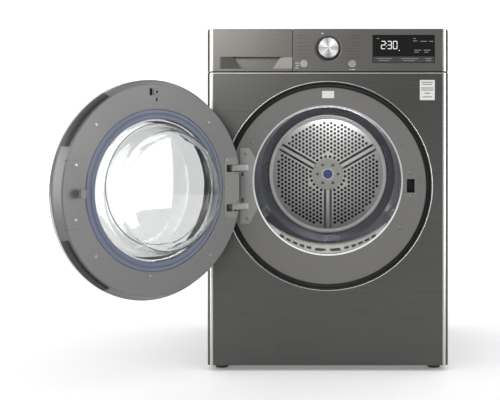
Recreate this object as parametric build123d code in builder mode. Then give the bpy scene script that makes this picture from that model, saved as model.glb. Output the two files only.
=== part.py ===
from build123d import *
import os
from math import cos, radians, sin, sqrt

os.makedirs("parts", exist_ok=True)

# Overall sizes. X runs to the right, Y into the machine, Z up from the floor.
cabinet_width = 600
cabinet_height = 850
cabinet_depth = 610
foot_gap = 14
sheet = 0.8
bulkhead_sheet = 1.0
clearance = 0.4
contact_gap = 0.3
shaft_gap = 0.05

half_width = cabinet_width / 2
half_depth = cabinet_depth / 2
inner_half = half_width - sheet

# Front face of the cabinet.
edge_radius = 14
front_return = 30
facia_height = 105.5
facia_depth = 28
facia_gap = 2.5
facia_wall = 3
facia_bottom = cabinet_height - facia_height
front_top = facia_bottom - facia_gap
cover_height = 20
side_top = cabinet_height - cover_height

# Door opening, seen square from the front.
recess_z = 459.5
recess_radius = 258.6
surround_radius = 246
surround_depth = 8
groove_depth = 20
groove_flange = recess_radius + 16.4
surround_wall = 3
opening_z = 473
opening_radius = 185.4
collar_depth = 50

# Drum, turned about an axis along Y.
drum_z = 470
drum_radius = 286
drum_front = 70
drum_length = 450
drum_lip_radius = drum_radius - 14
drum_step_radius = 201
drum_step_depth = 25
back_ring_radius = 178
drum_back_face = drum_front + drum_length + drum_step_depth
spoke_width = 10
spoke_slope = 7
spoke_height = 6
spoke_angles = (30, 150, 270)
sector_angles = (90, 210, 330)
hole_diameter = 8.5
hole_pitch = 12.25
perforation_radius = 156
hub_hole_radius = 52.7
hub_radius = 47
hub_screw_circle = 31
lifter_crest = 208
lifter_base_width = 74
lifter_crest_width = 26
shaft_radius = 8
bearing_radius = 14
bearing_length = 18
bulkhead_gap = 15

# Drive along the bottom right of the cabinet.
belt_depth = 325
belt_width = 10
belt_thickness = 2
motor_x = 205
motor_z = 105
pulley_radius = 11.5
idler_x = 120
idler_z = 120
idler_radius = 25
roller_radius = 20
roller_width = 20
roller_angle = 32

# Door, described shut. Depths are measured back from the cabinet's front face.
hinge_x = -235
hinge_depth = -22
door_open_angle = 136.6
rim_radius = 253.5
rim_depth = -21
trim_height = 6
door_face = 4
door_wall = 3
door_face_radius = 241
cover_depth = -57
cover_face_radius = 205
cover_shoulder = (-44, 242)
cover_hole_radius = 172
seal_radius = opening_radius - 0.4
seal_hole_radius = seal_radius - 22
arm_heights = (409.5, 505)
arm_height = 14
knuckle_radius = 7
pin_radius = 4
latch_x = 206.5
latch_z = 459.6

# Controls.
drawer_seam = -87.7
seam_gap = 1.5
dial_x = 1.7
dial_z = cabinet_height - 48.4
dial_radius = 26
dial_ring_radius = dial_radius + 8.5
button_places = (-59.4, 60.6)
button_z = cabinet_height - 87
button_radius = 9.2
button_travel = 1
display_left = 111
display_right = 266
display_bottom = cabinet_height - 85
display_top = cabinet_height - 15
tank_length = 420
tank_wall = 2

# Base.
tray_bottom = foot_gap + sheet
tray_height = 45
tray_wall = 3
foot_x = half_width - 32
foot_inset = 50
foot_radius = 16
stud_radius = 4

front_y = -half_depth
recess_centre = (0, recess_z)
opening_centre = (0, opening_z)
drum_centre = (0, drum_z)
motor_centre = (motor_x, motor_z)
idler_centre = (idler_x, idler_z)
mouth_bottom = opening_z - opening_radius
bulkhead_bottom = 130
bulkhead_top = front_top
tray_top = tray_bottom + tray_height
drum_axis = Axis((0, 0, drum_z), (0, 1, 0))
recess_axis = Axis((0, 0, recess_z), (0, 1, 0))
hinge_axis = Axis((hinge_x, front_y + hinge_depth, 0), (0, 0, 1))


def facing(depth, x=0, z=0):
    """A plane seen from the front, at a depth behind the front face: local x is X and local y is Z."""
    return Plane(origin=(x, front_y + depth, z), x_dir=(1, 0, 0), z_dir=(0, -1, 0))


def profile_plane(x, z):
    """A plane through an axis along Y: local x is depth behind the front face, local y is radius."""
    return Plane(origin=(x, front_y, z), x_dir=(0, 1, 0), z_dir=(1, 0, 0))


def level(z):
    """A horizontal plane whose local y is depth behind the front face."""
    return Plane(origin=(0, front_y, z), x_dir=(1, 0, 0), z_dir=(0, 0, 1))


def write(builder, name):
    builder.part.label = name
    export_step(builder.part, f"parts/{name}.step")


def write_open(builder, name):
    """Writes a door piece, turned about the hinge from shut to open."""
    opened = builder.part.rotate(hinge_axis, -door_open_angle)
    opened.label = name
    export_step(opened, f"parts/{name}.step")


def span(low, high):
    """The centre and the length of a stretch."""
    return (low + high) / 2, high - low


def slab(x_range, depth_range, z_range, mode=Mode.ADD):
    """A block between two values on each axis; depths run back from the front face."""
    x, width = span(*x_range)
    depth, length = span(*depth_range)
    z, height = span(*z_range)
    with Locations((x, front_y + depth, z)):
        Box(width, length, height, mode=mode)


def ring(centre, inner, outer, start, end, mode=Mode.ADD):
    """A ring, tube or disc about an axis along Y through a point, from one depth to another."""
    with BuildSketch(facing(start, *centre)) as flat:
        Circle(outer)
        if inner:
            Circle(inner, mode=Mode.SUBTRACT)
    extrude(flat.sketch, amount=start - end, mode=mode)


# ---------------------------------------------------------------- cabinet shell
# Side panels: one folded sheet each, with a front, a rear and a bottom flange.
side_start = front_return + 0.5
side_end = cabinet_depth - sheet
side_flange = 8
bottom_flange = 18.8
for name, side in (("side_panel_left", -1), ("side_panel_right", 1)):
    with BuildPart() as side_panel:
        outer = side * half_width
        inner = side * inner_half
        flange = side * (inner_half - side_flange)
        foot_flange = side * (inner_half - bottom_flange)
        slab(sorted((inner, outer)), (side_start, side_end), (foot_gap, side_top))
        slab(sorted((flange, inner)), (side_start, side_start + sheet), (foot_gap, side_top))
        slab(sorted((flange, inner)), (side_end - sheet, side_end), (foot_gap, side_top))
        slab(sorted((foot_flange, inner)), (side_start, side_end), (foot_gap, tray_bottom))
    write(side_panel, name)

# Top cover: a folded lid over both side panels, with rounded upper corners and a closed back.
top_radius = 8
with BuildPart() as top_cover:
    for inset, end, mode in ((0, cabinet_depth, Mode.ADD), (sheet, cabinet_depth - sheet, Mode.SUBTRACT)):
        with BuildSketch(facing(facia_depth)) as lid_outline:
            with Locations((0, side_top)):
                Rectangle(2 * (half_width - inset), cover_height - inset, align=(Align.CENTER, Align.MIN))
            upper_corners = lid_outline.vertices().group_by(Axis.Y)[-1]
            fillet(upper_corners, radius=top_radius - inset)
        extrude(lid_outline.sketch, amount=facia_depth - end, mode=mode)
write(top_cover, "top_cover")

# Back panel: a flat sheet with a louvred field, a round service cover and the gland's hole.
gland_x = -200
gland_z = cabinet_height - 80
gland_radius = 10
louvre_centre = (190, 230)
service_radius = 130
service_boss = 2
with BuildPart() as back_panel:
    with BuildSketch(facing(cabinet_depth - sheet)) as back_outline:
        with Locations((0, (foot_gap + side_top) / 2)):
            Rectangle(cabinet_width, side_top - foot_gap)
        with Locations((gland_x, gland_z)):
            Circle(gland_radius, mode=Mode.SUBTRACT)
        with Locations(louvre_centre):
            with GridLocations(0, 16, 1, 14):
                SlotOverall(120, 6, mode=Mode.SUBTRACT)
    extrude(amount=-sheet)
    with BuildSketch(facing(cabinet_depth - sheet, 0, drum_z)) as service_cover:
        Circle(service_radius)
    extrude(amount=-sheet - service_boss)
write(back_panel, "back_panel")

# Front panel: a folded tray with rounded upright edges, a hemmed top edge and a round hole
# with a rolled lip.
hem_radius = 2.5
hem_thickness = 2.2
with BuildPart() as front_panel:
    slab((-half_width, half_width), (0, front_return), (foot_gap, front_top))
    uprights = front_panel.edges().filter_by(Axis.Z).group_by(Axis.Y)[0]
    fillet(uprights, radius=edge_radius)
    rolled_edges = front_panel.faces().sort_by(Axis.Z)[-1].edges().sort_by(Axis.Y)[:-1]
    fillet(rolled_edges, radius=hem_radius)
    slab(
        (-inner_half, inner_half),
        (edge_radius, front_return),
        (tray_bottom, front_top - hem_thickness),
        mode=Mode.SUBTRACT,
    )
    with BuildSketch(level(tray_bottom)) as hollow:
        with Locations((0, sheet)):
            Rectangle(2 * inner_half, front_return, align=(Align.CENTER, Align.MIN))
        front_corners = hollow.vertices().group_by(Axis.Y)[0]
        fillet(front_corners, radius=edge_radius - sheet)
    extrude(hollow.sketch, amount=front_top - hem_thickness - tray_bottom, mode=Mode.SUBTRACT)
    ring(recess_centre, recess_radius, recess_radius + sheet, 0, groove_depth)
    ring(recess_centre, 0, recess_radius, 0, sheet, mode=Mode.SUBTRACT)
    lip_edge = front_panel.edges().filter_by(GeomType.CIRCLE).group_by(Axis.Y)[0].sort_by(Edge.length)
    fillet(lip_edge, radius=0.9)
write(front_panel, "front_panel")

# ---------------------------------------------------------------- control panel
# Fascia: the right-hand three quarters of the head, a shell open at the back.
fascia_left = drawer_seam + seam_gap / 2
with BuildPart() as control_panel:
    slab((fascia_left, half_width), (0, facia_depth), (facia_bottom, cabinet_height))
    right_edge = control_panel.edges().filter_by(Axis.Z).group_by(Axis.Y)[0].sort_by(Axis.X)[-1]
    fillet(right_edge, radius=edge_radius)
    with BuildSketch(facing(0)) as head_outline:
        with Locations((0, facia_bottom)):
            Rectangle(cabinet_width, facia_height, align=(Align.CENTER, Align.MIN))
        head_corners = head_outline.vertices().group_by(Axis.Y)[-1]
        fillet(head_corners, radius=top_radius)
    extrude(head_outline.sketch, amount=-facia_depth, mode=Mode.INTERSECT)
    with BuildSketch(level(facia_bottom + facia_wall)) as hollow:
        with Locations((fascia_left + facia_wall, facia_wall)):
            Rectangle(
                half_width - fascia_left - 2 * facia_wall, facia_depth, align=(Align.MIN, Align.MIN)
            )
        far_corner = hollow.vertices().group_by(Axis.Y)[0].sort_by(Axis.X)[-1]
        fillet(far_corner, radius=edge_radius - facia_wall)
    extrude(hollow.sketch, amount=facia_height - 2 * facia_wall, mode=Mode.SUBTRACT)
    with BuildSketch(facing(0)) as cutouts:
        with Locations(((display_left + display_right) / 2, (display_bottom + display_top) / 2)):
            Rectangle(display_right - display_left, display_top - display_bottom)
        with Locations((dial_x, dial_z)):
            Circle(dial_ring_radius + 0.2)
        for button_x in button_places:
            with Locations((button_x, button_z)):
                Circle(button_radius + clearance)
    extrude(cutouts.sketch, amount=-facia_wall, mode=Mode.SUBTRACT)
write(control_panel, "control_panel")

# Display window: a flush pane with a glued flange behind the fascia.
pane_gap = 0.1
pane_flange = 3
with BuildPart() as display_window:
    slab(
        (display_left + pane_gap, display_right - pane_gap),
        (0, facia_wall),
        (display_bottom + pane_gap, display_top - pane_gap),
    )
    slab(
        (display_left - pane_flange, display_right + pane_flange),
        (facia_wall, facia_wall + 1.5),
        (display_bottom - pane_flange, display_top + pane_flange),
    )
write(display_window, "display_window")

dial_shaft_radius = 3

# Control board: one circuit board on four posts, with a key switch behind each button.
board_depth = 16
board_thickness = 1.6
board_range = (cabinet_height - 98, cabinet_height - 4)
switch_face = 11.8
with BuildPart() as control_board:
    board_back = board_depth + board_thickness
    slab((-80, 280), (board_depth, board_back), board_range)
    for post_x in (-76, 276):
        for post_z in (board_range[0] + 2, board_range[1] - 6):
            slab((post_x - 3, post_x + 3), (facia_wall, board_back), (post_z - 3, post_z + 3))
    for switch_x in button_places:
        slab((switch_x - 3, switch_x + 3), (switch_face, board_depth), (button_z - 3, button_z + 3))
    slab((display_left + 1, display_right - 1), (8, board_depth), (display_bottom + 1, display_top - 1))
    slab((20, 90), (board_back, board_depth + 8), (dial_z - 1.6, board_range[1] - 6))
    centre = (dial_x, dial_z)
    ring(centre, 0, 12, 9, board_depth)
    ring(centre, 0, dial_shaft_radius + shaft_gap, 9, board_back, mode=Mode.SUBTRACT)
write(control_board, "control_board")

# Programme dial: a short round knob and its shaft, turned as one piece.
knob_front = -15
with BuildPart() as program_dial:
    with BuildSketch(profile_plane(dial_x, dial_z)) as knob_profile:
        with BuildLine():
            Polyline(
                (knob_front, 0),
                (knob_front, dial_radius - 2.4),
                (knob_front + 1.4, dial_radius - 1),
                (0.5, dial_radius),
                (0.5, dial_radius - 3),
                (knob_front + 4, dial_radius - 4.5),
                (knob_front + 4, dial_shaft_radius),
                (board_depth, dial_shaft_radius),
                (board_depth, 0),
                close=True,
            )
        make_face()
    revolve(axis=Axis((dial_x, 0, dial_z), (0, 1, 0)))
write(program_dial, "program_dial")

# Dial ring: a dished bezel behind the knob, clipped to the back of the fascia.
with BuildPart() as dial_ring:
    with BuildSketch(profile_plane(dial_x, dial_z)) as bezel_profile:
        with BuildLine():
            Polyline(
                (-1.2, dial_ring_radius - 1),
                (-1.2, dial_ring_radius),
                (facia_wall, dial_ring_radius),
                (facia_wall, dial_ring_radius + 3),
                (facia_wall + 1.8, dial_ring_radius + 3),
                (facia_wall + 1.8, dial_shaft_radius + 0.6),
                (facia_wall, dial_shaft_radius + 0.6),
                (facia_wall, dial_radius + 1.2),
                (0.2, dial_radius + 1.6),
                close=True,
            )
        make_face()
    revolve(axis=Axis((dial_x, 0, dial_z), (0, 1, 0)))
write(dial_ring, "dial_ring")

# Push buttons: a cap, a flange that stops it behind the fascia, and a plunger to the switch.
for name, button_x in zip(("power_button", "start_button"), button_places):
    with BuildPart() as button:
        centre = (button_x, button_z)
        ring(centre, 0, button_radius, -1.6, facia_wall + 0.2)
        ring(centre, 0, button_radius + 2, facia_wall + 0.2, facia_wall + 1.6)
        ring(centre, 0, 2.5, facia_wall + 1.6, switch_face - button_travel - 0.3)
        cap_edge = button.edges().filter_by(GeomType.CIRCLE).group_by(Axis.Y)[0]
        fillet(cap_edge, radius=0.8)
    write(button, name)

# ---------------------------------------------------------------- condensate drawer
# Drawer front: the left-hand quarter of the head, with a scooped grip under a straight lip.
drawer_right = drawer_seam - seam_gap / 2
grip_x = -177
grip_half = 92
grip_depth = 12
grip_top = cabinet_height - 69.4
grip_bottom = cabinet_height - 99
grip_radius = (grip_half**2 + grip_depth**2) / (2 * grip_depth)
pocket_depth = 24
pocket_top_half = 60
pocket_bottom_half = 38
with BuildPart() as tank_front:
    slab((-half_width, drawer_right), (0, facia_depth), (facia_bottom, cabinet_height))
    left_edge = tank_front.edges().filter_by(Axis.Z).group_by(Axis.Y)[0].sort_by(Axis.X)[0]
    fillet(left_edge, radius=edge_radius)
    extrude(head_outline.sketch, amount=-facia_depth, mode=Mode.INTERSECT)
    with BuildSketch(level(grip_top + facia_wall)) as upper_hollow:
        with Locations((-half_width + facia_wall, facia_wall)):
            Rectangle(
                drawer_right + half_width - 2 * facia_wall, facia_depth, align=(Align.MIN, Align.MIN)
            )
        near_corner = upper_hollow.vertices().group_by(Axis.Y)[0].sort_by(Axis.X)[0]
        fillet(near_corner, radius=edge_radius - facia_wall)
    upper_height = cabinet_height - facia_wall - grip_top - facia_wall
    extrude(upper_hollow.sketch, amount=upper_height, mode=Mode.SUBTRACT)
    with BuildSketch(level(grip_bottom)) as scoop:
        with Locations((grip_x, grip_depth - grip_radius)):
            Circle(grip_radius)
    extrude(scoop.sketch, amount=grip_top - grip_bottom, mode=Mode.SUBTRACT)
    with BuildSketch(facing(0)) as pocket:
        with BuildLine():
            Polyline(
                (grip_x - pocket_top_half, grip_top),
                (grip_x + pocket_top_half, grip_top),
                (grip_x + pocket_bottom_half, grip_bottom),
                (grip_x - pocket_bottom_half, grip_bottom),
                close=True,
            )
        make_face()
    extrude(pocket.sketch, amount=-pocket_depth, mode=Mode.SUBTRACT)
write(tank_front, "tank_front")

# Water tank: a closed hollow box with a filler hole and a handle rib at its front.
tank_x = (-half_width + 17, drawer_right - 13.55)
tank_z = (cabinet_height - 93, cabinet_height - 14)
filler_radius = 18
tank_depth = (facia_depth, facia_depth + tank_length)
with BuildPart() as water_tank:
    slab(tank_x, tank_depth, tank_z)
    fillet(water_tank.edges().filter_by(Axis.Y), radius=8)
    slab(
        (tank_x[0] + tank_wall, tank_x[1] - tank_wall),
        (tank_depth[0] + tank_wall, tank_depth[1] - tank_wall),
        (tank_z[0] + tank_wall, tank_z[1] - tank_wall),
        mode=Mode.SUBTRACT,
    )
    with Locations(((tank_x[0] + tank_x[1]) / 2, front_y + tank_depth[1] - 60, tank_z[1])):
        Hole(radius=filler_radius, depth=8)
write(water_tank, "water_tank")

# Tank housing: the sleeve that the tank slides in, open at the front and for the filler on top.
sleeve_gap = 1.5
sleeve_wall = 2
sleeve_start = facia_depth + 4
with BuildPart() as tank_housing:
    outer_gap = sleeve_gap + sleeve_wall
    slab(
        (tank_x[0] - outer_gap, tank_x[1] + outer_gap),
        (sleeve_start, tank_depth[1] + outer_gap),
        (tank_z[0] - outer_gap, tank_z[1] + outer_gap),
    )
    slab(
        (tank_x[0] - sleeve_gap, tank_x[1] + sleeve_gap),
        (sleeve_start, tank_depth[1] + sleeve_gap),
        (tank_z[0] - sleeve_gap, tank_z[1] + sleeve_gap),
        mode=Mode.SUBTRACT,
    )
    hanger_top = cabinet_height - sheet
    for hanger_depth in (120, 360):
        slab(
            (tank_x[0] - outer_gap, tank_x[1] + outer_gap),
            (hanger_depth, hanger_depth + sleeve_wall),
            (tank_z[1] + sleeve_gap, hanger_top),
        )
write(tank_housing, "tank_housing")

# ---------------------------------------------------------------- door opening
# Surround: a flat moulding with a groove around it and a collar into the drum's mouth.
latch_slot = (19.6, 34)
latch_plate = (188, 223, 422, 498)
latch_screw_places = ((206, 491), (206, 431))
hinge_screw_places = ((-204, 540), (-200, 378))
screw_hole_radius = 2
cassette_half = 100
cassette_start = 25
cassette_end = 44
slot_gap = 1.5
surround_screw_places = ((185, 565), (180, 354), (-188, 568))
with BuildPart() as door_surround:
    with BuildSketch(profile_plane(0, recess_z)) as surround_profile:
        with BuildLine():
            Polyline(
                (surround_depth, 0),
                (surround_depth, surround_radius - 2),
                (surround_depth + 2, surround_radius),
                (groove_depth, surround_radius),
                (groove_depth, groove_flange),
                (groove_depth + 2.5, groove_flange),
                (groove_depth + 2.5, surround_radius - surround_wall),
                (surround_depth + surround_wall, surround_radius - surround_wall),
                (surround_depth + surround_wall, 0),
                close=True,
            )
        make_face()
    revolve(axis=recess_axis)
    ring(opening_centre, 0, opening_radius + surround_wall, surround_depth, collar_depth)
    ring(opening_centre, 0, opening_radius, surround_depth, collar_depth, mode=Mode.SUBTRACT)
    slab(
        (-cassette_half - slot_gap, cassette_half + slot_gap),
        (cassette_start - slot_gap, cassette_end + slot_gap),
        (mouth_bottom - 2 * surround_wall, mouth_bottom + 92.7),
        mode=Mode.SUBTRACT,
    )
    with BuildSketch(facing(surround_depth)) as latch_hole:
        with Locations((latch_x, latch_z)):
            Rectangle(latch_slot[0] + 4, latch_slot[1] + 4)
        with Locations(*surround_screw_places, *latch_screw_places, *hinge_screw_places):
            Circle(screw_hole_radius)
    extrude(latch_hole.sketch, amount=-surround_wall, mode=Mode.SUBTRACT)
write(door_surround, "door_surround")

# Opening trim: a bright ring lining the front of the collar.
trim_lip = 1.2
with BuildPart() as opening_trim:
    trim_inner = opening_radius - 1.8
    trim_front = surround_depth - trim_lip
    ring(opening_centre, trim_inner, opening_radius + 2, trim_front, surround_depth)
    ring(opening_centre, trim_inner, opening_radius, surround_depth, groove_depth)
write(opening_trim, "opening_trim")

# Latch housing: a plate on the surround with the catch's box behind it.
plate_left, plate_right, plate_bottom, plate_top = latch_plate
with BuildPart() as latch_housing:
    slab((plate_left, plate_right), (surround_depth - 1, surround_depth), (plate_bottom, plate_top))
    fillet(latch_housing.edges().filter_by(Axis.Y), radius=4)
    box_x = (latch_x - latch_slot[0] / 2 - 2, latch_x + latch_slot[0] / 2 + 2)
    box_z = (latch_z - latch_slot[1] / 2 - 2, latch_z + latch_slot[1] / 2 + 2)
    slab(box_x, (surround_depth, 46), box_z)
    slab(
        (latch_x - latch_slot[0] / 2, latch_x + latch_slot[0] / 2),
        (surround_depth - 1, 44),
        (latch_z - latch_slot[1] / 2, latch_z + latch_slot[1] / 2),
        mode=Mode.SUBTRACT,
    )
    with BuildSketch(facing(surround_depth - 1)) as plate_screws:
        with Locations(*latch_screw_places):
            Circle(screw_hole_radius)
    extrude(plate_screws.sketch, amount=-1, mode=Mode.SUBTRACT)
write(latch_housing, "latch_housing")

# Cabinet hinge: a tapered plate on the surround, with two goose-neck arms and the pin.
hinge_plate = ((-218, 554), (-196, 554), (-176, 520), (-176, 399), (-196, 365), (-218, 365))
plate_thickness = 2
with BuildPart() as cabinet_hinge:
    with BuildSketch(facing(surround_depth - plate_thickness)) as hinge_outline:
        with BuildLine():
            Polyline(*hinge_plate, close=True)
        make_face()
        with Locations(*hinge_screw_places):
            Circle(screw_hole_radius, mode=Mode.SUBTRACT)
        with Locations(opening_centre):
            Circle(opening_radius + 2, mode=Mode.SUBTRACT)
    extrude(amount=-plate_thickness)
    for arm_z in arm_heights:
        with BuildSketch(level(arm_z - arm_height / 2)) as arm_outline:
            with BuildLine():
                Polyline(
                    (hinge_x - 3, hinge_depth + 5),
                    (hinge_x + 5, hinge_depth - 4),
                    (-201, surround_depth - plate_thickness - 2),
                    (-196, surround_depth - plate_thickness),
                    (-196, surround_depth),
                    (-214, surround_depth),
                    (-215, surround_depth - plate_thickness - 3),
                    close=True,
                )
            make_face()
            with Locations((hinge_x, hinge_depth)):
                Circle(knuckle_radius)
        extrude(arm_outline.sketch, amount=arm_height)
    low_arm, high_arm = arm_heights
    with BuildSketch(level(low_arm - arm_height / 2 - 3)) as pin_outline:
        with Locations((hinge_x, hinge_depth)):
            Circle(pin_radius)
    extrude(pin_outline.sketch, amount=high_arm - low_arm + arm_height + 6)
write(cabinet_hinge, "cabinet_hinge")

# Surround screws: pan heads with short shanks, on the surround, latch plate and hinge plate.
head_radius = 4.2
head_height = 1.8
shank_radius = 1.9
with BuildPart() as surround_screws:
    screw_sets = (
        (surround_screw_places, surround_depth),
        (latch_screw_places, surround_depth - 1),
        (hinge_screw_places, surround_depth - plate_thickness),
    )
    for places, seat in screw_sets:
        for place in places:
            ring(place, 0, head_radius, seat - head_height, seat)
            ring(place, 0, shank_radius, seat, surround_depth + surround_wall)
write(surround_screws, "surround_screws")

# ---------------------------------------------------------------- drum mouth
# Front bulkhead: a plate behind the surround with the drum's seal collar and two roller pins.
bulkhead_end = collar_depth + bulkhead_sheet
seal_collar = (drum_lip_radius - 9, drum_lip_radius - 7.5)
collar_end = 95
roller_x = (drum_radius + roller_radius + contact_gap) * sin(radians(roller_angle))
roller_z = drum_z - (drum_radius + roller_radius + contact_gap) * cos(radians(roller_angle))
roller_start = 90
roller_pin = 4
with BuildPart() as front_bulkhead:
    with BuildSketch(facing(collar_depth)) as bulkhead_outline:
        with Locations((0, (bulkhead_bottom + bulkhead_top) / 2)):
            Rectangle(2 * inner_half, bulkhead_top - bulkhead_bottom)
        with Locations(opening_centre):
            Circle(opening_radius + surround_wall, mode=Mode.SUBTRACT)
    extrude(amount=collar_depth - bulkhead_end)
    ring(drum_centre, *seal_collar, bulkhead_end, collar_end)
    for side in (-1, 1):
        centre = (side * roller_x, roller_z)
        ring(centre, 0, 7, bulkhead_end, roller_start - contact_gap)
        ring(centre, 0, roller_pin, bulkhead_end, roller_start + roller_width + 4)
    for side in (-1, 1):
        slab(
            sorted((side * (inner_half - bulkhead_sheet), side * inner_half)),
            (side_start + sheet, bulkhead_end),
            (bulkhead_bottom, bulkhead_top - sheet),
        )
write(front_bulkhead, "front_bulkhead")

# Front felt: the ring of felt that the drum's mouth turns on.
with BuildPart() as front_felt:
    ring(drum_centre, seal_collar[1], drum_lip_radius - contact_gap, 62, 90)
write(front_felt, "front_felt")

# Lint filter: a flat cassette below a crescent that finishes the bottom of the mouth.
crescent_radius = opening_radius - 0.6
crescent_height = 22.4
crescent_cut_radius = opening_radius + 49.1
crescent_cut_z = mouth_bottom + crescent_height + crescent_cut_radius
cassette_bottom = 150
cassette_top = mouth_bottom + 47.4
crescent_start = groove_depth + 1
crescent_end = 62
window_places = ((-49, 212), (49, 212))
window_size = (80, 104)
window_corner = 6
slot_width = 5
slot_places = (62, 76, 90, 104, 118)
grip_slot_z = mouth_bottom + 11.4
with BuildPart() as lint_filter:
    with BuildSketch(facing(crescent_start)) as crescent:
        with Locations(opening_centre):
            Circle(crescent_radius)
        with Locations((0, crescent_cut_z)):
            Circle(crescent_cut_radius, mode=Mode.SUBTRACT)
    extrude(amount=crescent_start - crescent_end)
    with BuildSketch(facing(cassette_start)) as cassette:
        with Locations((0, cassette_bottom)):
            Rectangle(2 * cassette_half, cassette_top - cassette_bottom, align=(Align.CENTER, Align.MIN))
        with Locations((0, crescent_cut_z)):
            Circle(crescent_cut_radius, mode=Mode.SUBTRACT)
        with Locations(*window_places):
            RectangleRounded(*window_size, window_corner, mode=Mode.SUBTRACT)
    extrude(cassette.sketch, amount=cassette_start - cassette_end)
    with BuildSketch(facing(crescent_start)) as grip_raise:
        with Locations(opening_centre):
            Circle(crescent_radius - 2)
        with Locations((0, crescent_cut_z)):
            Circle(crescent_cut_radius, mode=Mode.SUBTRACT)
        with Locations((0, grip_slot_z)):
            Rectangle(82, 60, mode=Mode.INTERSECT)
    extrude(grip_raise.sketch, amount=2.5)
    with BuildSketch(facing(crescent_start - 2.5)) as slots:
        for slot_x in slot_places:
            for side in (-1, 1):
                slot_top = crescent_cut_z - sqrt(crescent_cut_radius**2 - slot_x**2)
                slot_low = opening_z - sqrt(crescent_radius**2 - slot_x**2)
                slot_length = (slot_top - slot_low) * 0.5
                with Locations((side * slot_x, (slot_top + slot_low) / 2)):
                    Rectangle(slot_width, slot_length)
        with Locations((-22, grip_slot_z - 1), (22, grip_slot_z - 1)):
            Rectangle(22, slot_width)
    extrude(slots.sketch, amount=-5, mode=Mode.SUBTRACT)
write(lint_filter, "lint_filter")

# Lint mesh: two fine screens set in the cassette's windows.
mesh_depth = (cassette_start + cassette_end) / 2
with BuildPart() as lint_mesh:
    with BuildSketch(facing(mesh_depth)) as screens:
        with Locations(*window_places):
            RectangleRounded(*window_size, window_corner)
    extrude(amount=-0.6)
write(lint_mesh, "lint_mesh")

# Filter housing: the slot that the cassette drops into, open below to the base.
housing_wall = 1.2
housing_start = groove_depth + 2.5
housing_range = (tray_top, mouth_bottom + 42.4)
housing_half = cassette_half + 4
with BuildPart() as filter_housing:
    slab((-housing_half, housing_half), (housing_start, collar_depth), housing_range)
    slab(
        (-housing_half + housing_wall, housing_half - housing_wall),
        (housing_start + housing_wall, collar_depth - housing_wall),
        housing_range,
        mode=Mode.SUBTRACT,
    )
    ring(opening_centre, 0, opening_radius + surround_wall, housing_start, collar_depth, mode=Mode.SUBTRACT)
write(filter_housing, "filter_housing")

# ---------------------------------------------------------------- drum
# Drum shell: lip, barrel and stepped rear wall, turned from one sheet.
barrel_end = drum_front + drum_length
step_end = drum_back_face
with BuildPart() as drum_shell:
    with BuildSketch(profile_plane(0, drum_z)) as shell_profile:
        with BuildLine():
            Polyline(
                (drum_front, drum_lip_radius),
                (drum_front, drum_radius - 3),
                (drum_front + 3, drum_radius),
                (barrel_end + sheet, drum_radius),
                (barrel_end + sheet, drum_step_radius + 0.5),
                (step_end + sheet, back_ring_radius + 0.5),
                (step_end + sheet, back_ring_radius - 12),
                (step_end, back_ring_radius - 12),
                (step_end, back_ring_radius),
                (barrel_end, drum_step_radius),
                (barrel_end, drum_radius - sheet),
                (drum_front + 3.5, drum_radius - sheet),
                (drum_front + sheet, drum_radius - 3.5),
                (drum_front + sheet, drum_lip_radius),
                close=True,
            )
        make_face()
    revolve(axis=drum_axis)
write(drum_shell, "drum_shell")

# Drum back: a pressed disc with three raised spokes and three fields of round holes.
column_gap = hole_pitch * sqrt(3) / 2
half_spoke = spoke_width / 2 + spoke_slope
edge_margin = half_spoke + hole_diameter / 2 + 2


def sector_holes(angle):
    """Centres of one sector's lattice of holes, with rows square to the sector's middle line."""
    places = []
    for column in range(-14, 15):
        for row in range(3, 15):
            along = (row + 0.5 * (column % 2)) * hole_pitch
            across = column * column_gap
            radius = sqrt(along**2 + across**2)
            to_left = along * sin(radians(60)) - abs(across) * cos(radians(60))
            in_ring = hub_hole_radius + hole_diameter + 2 < radius < perforation_radius
            if in_ring and to_left > edge_margin:
                turn = radians(angle)
                x = along * cos(turn) - across * sin(turn)
                z = along * sin(turn) + across * cos(turn)
                places.append((x, z))
    for step in range(6):
        turn = radians(angle - 37.5 + 15 * step)
        places.append((hub_hole_radius * cos(turn), hub_hole_radius * sin(turn)))
    return places


disc_radius = back_ring_radius - 12
back_disc = 1.5
with BuildPart() as drum_back:
    with BuildSketch(facing(step_end, 0, drum_z)) as disc:
        Circle(disc_radius)
        for sector in sector_angles:
            with Locations(*sector_holes(sector)):
                Circle(hole_diameter / 2, mode=Mode.SUBTRACT)
        Circle(shaft_radius, mode=Mode.SUBTRACT)
        with PolarLocations(hub_screw_circle, 6):
            Circle(2, mode=Mode.SUBTRACT)
    extrude(amount=-back_disc)
    for spoke in spoke_angles:
        direction = (cos(radians(spoke)), 0, sin(radians(spoke)))
        across = (-direction[2], 0, direction[0])
        place = Vector(0, front_y + step_end, drum_z) + Vector(*direction) * hub_radius
        spoke_plane = Plane(origin=place, x_dir=across, z_dir=direction)
        with BuildSketch(spoke_plane) as spoke_section:
            with BuildLine():
                Polyline(
                    (-half_spoke, 0),
                    (-spoke_width / 2, spoke_height),
                    (spoke_width / 2, spoke_height),
                    (half_spoke, 0),
                    close=True,
                )
            make_face()
        extrude(spoke_section.sketch, amount=disc_radius - 4 - hub_radius)
write(drum_back, "drum_back")

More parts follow.
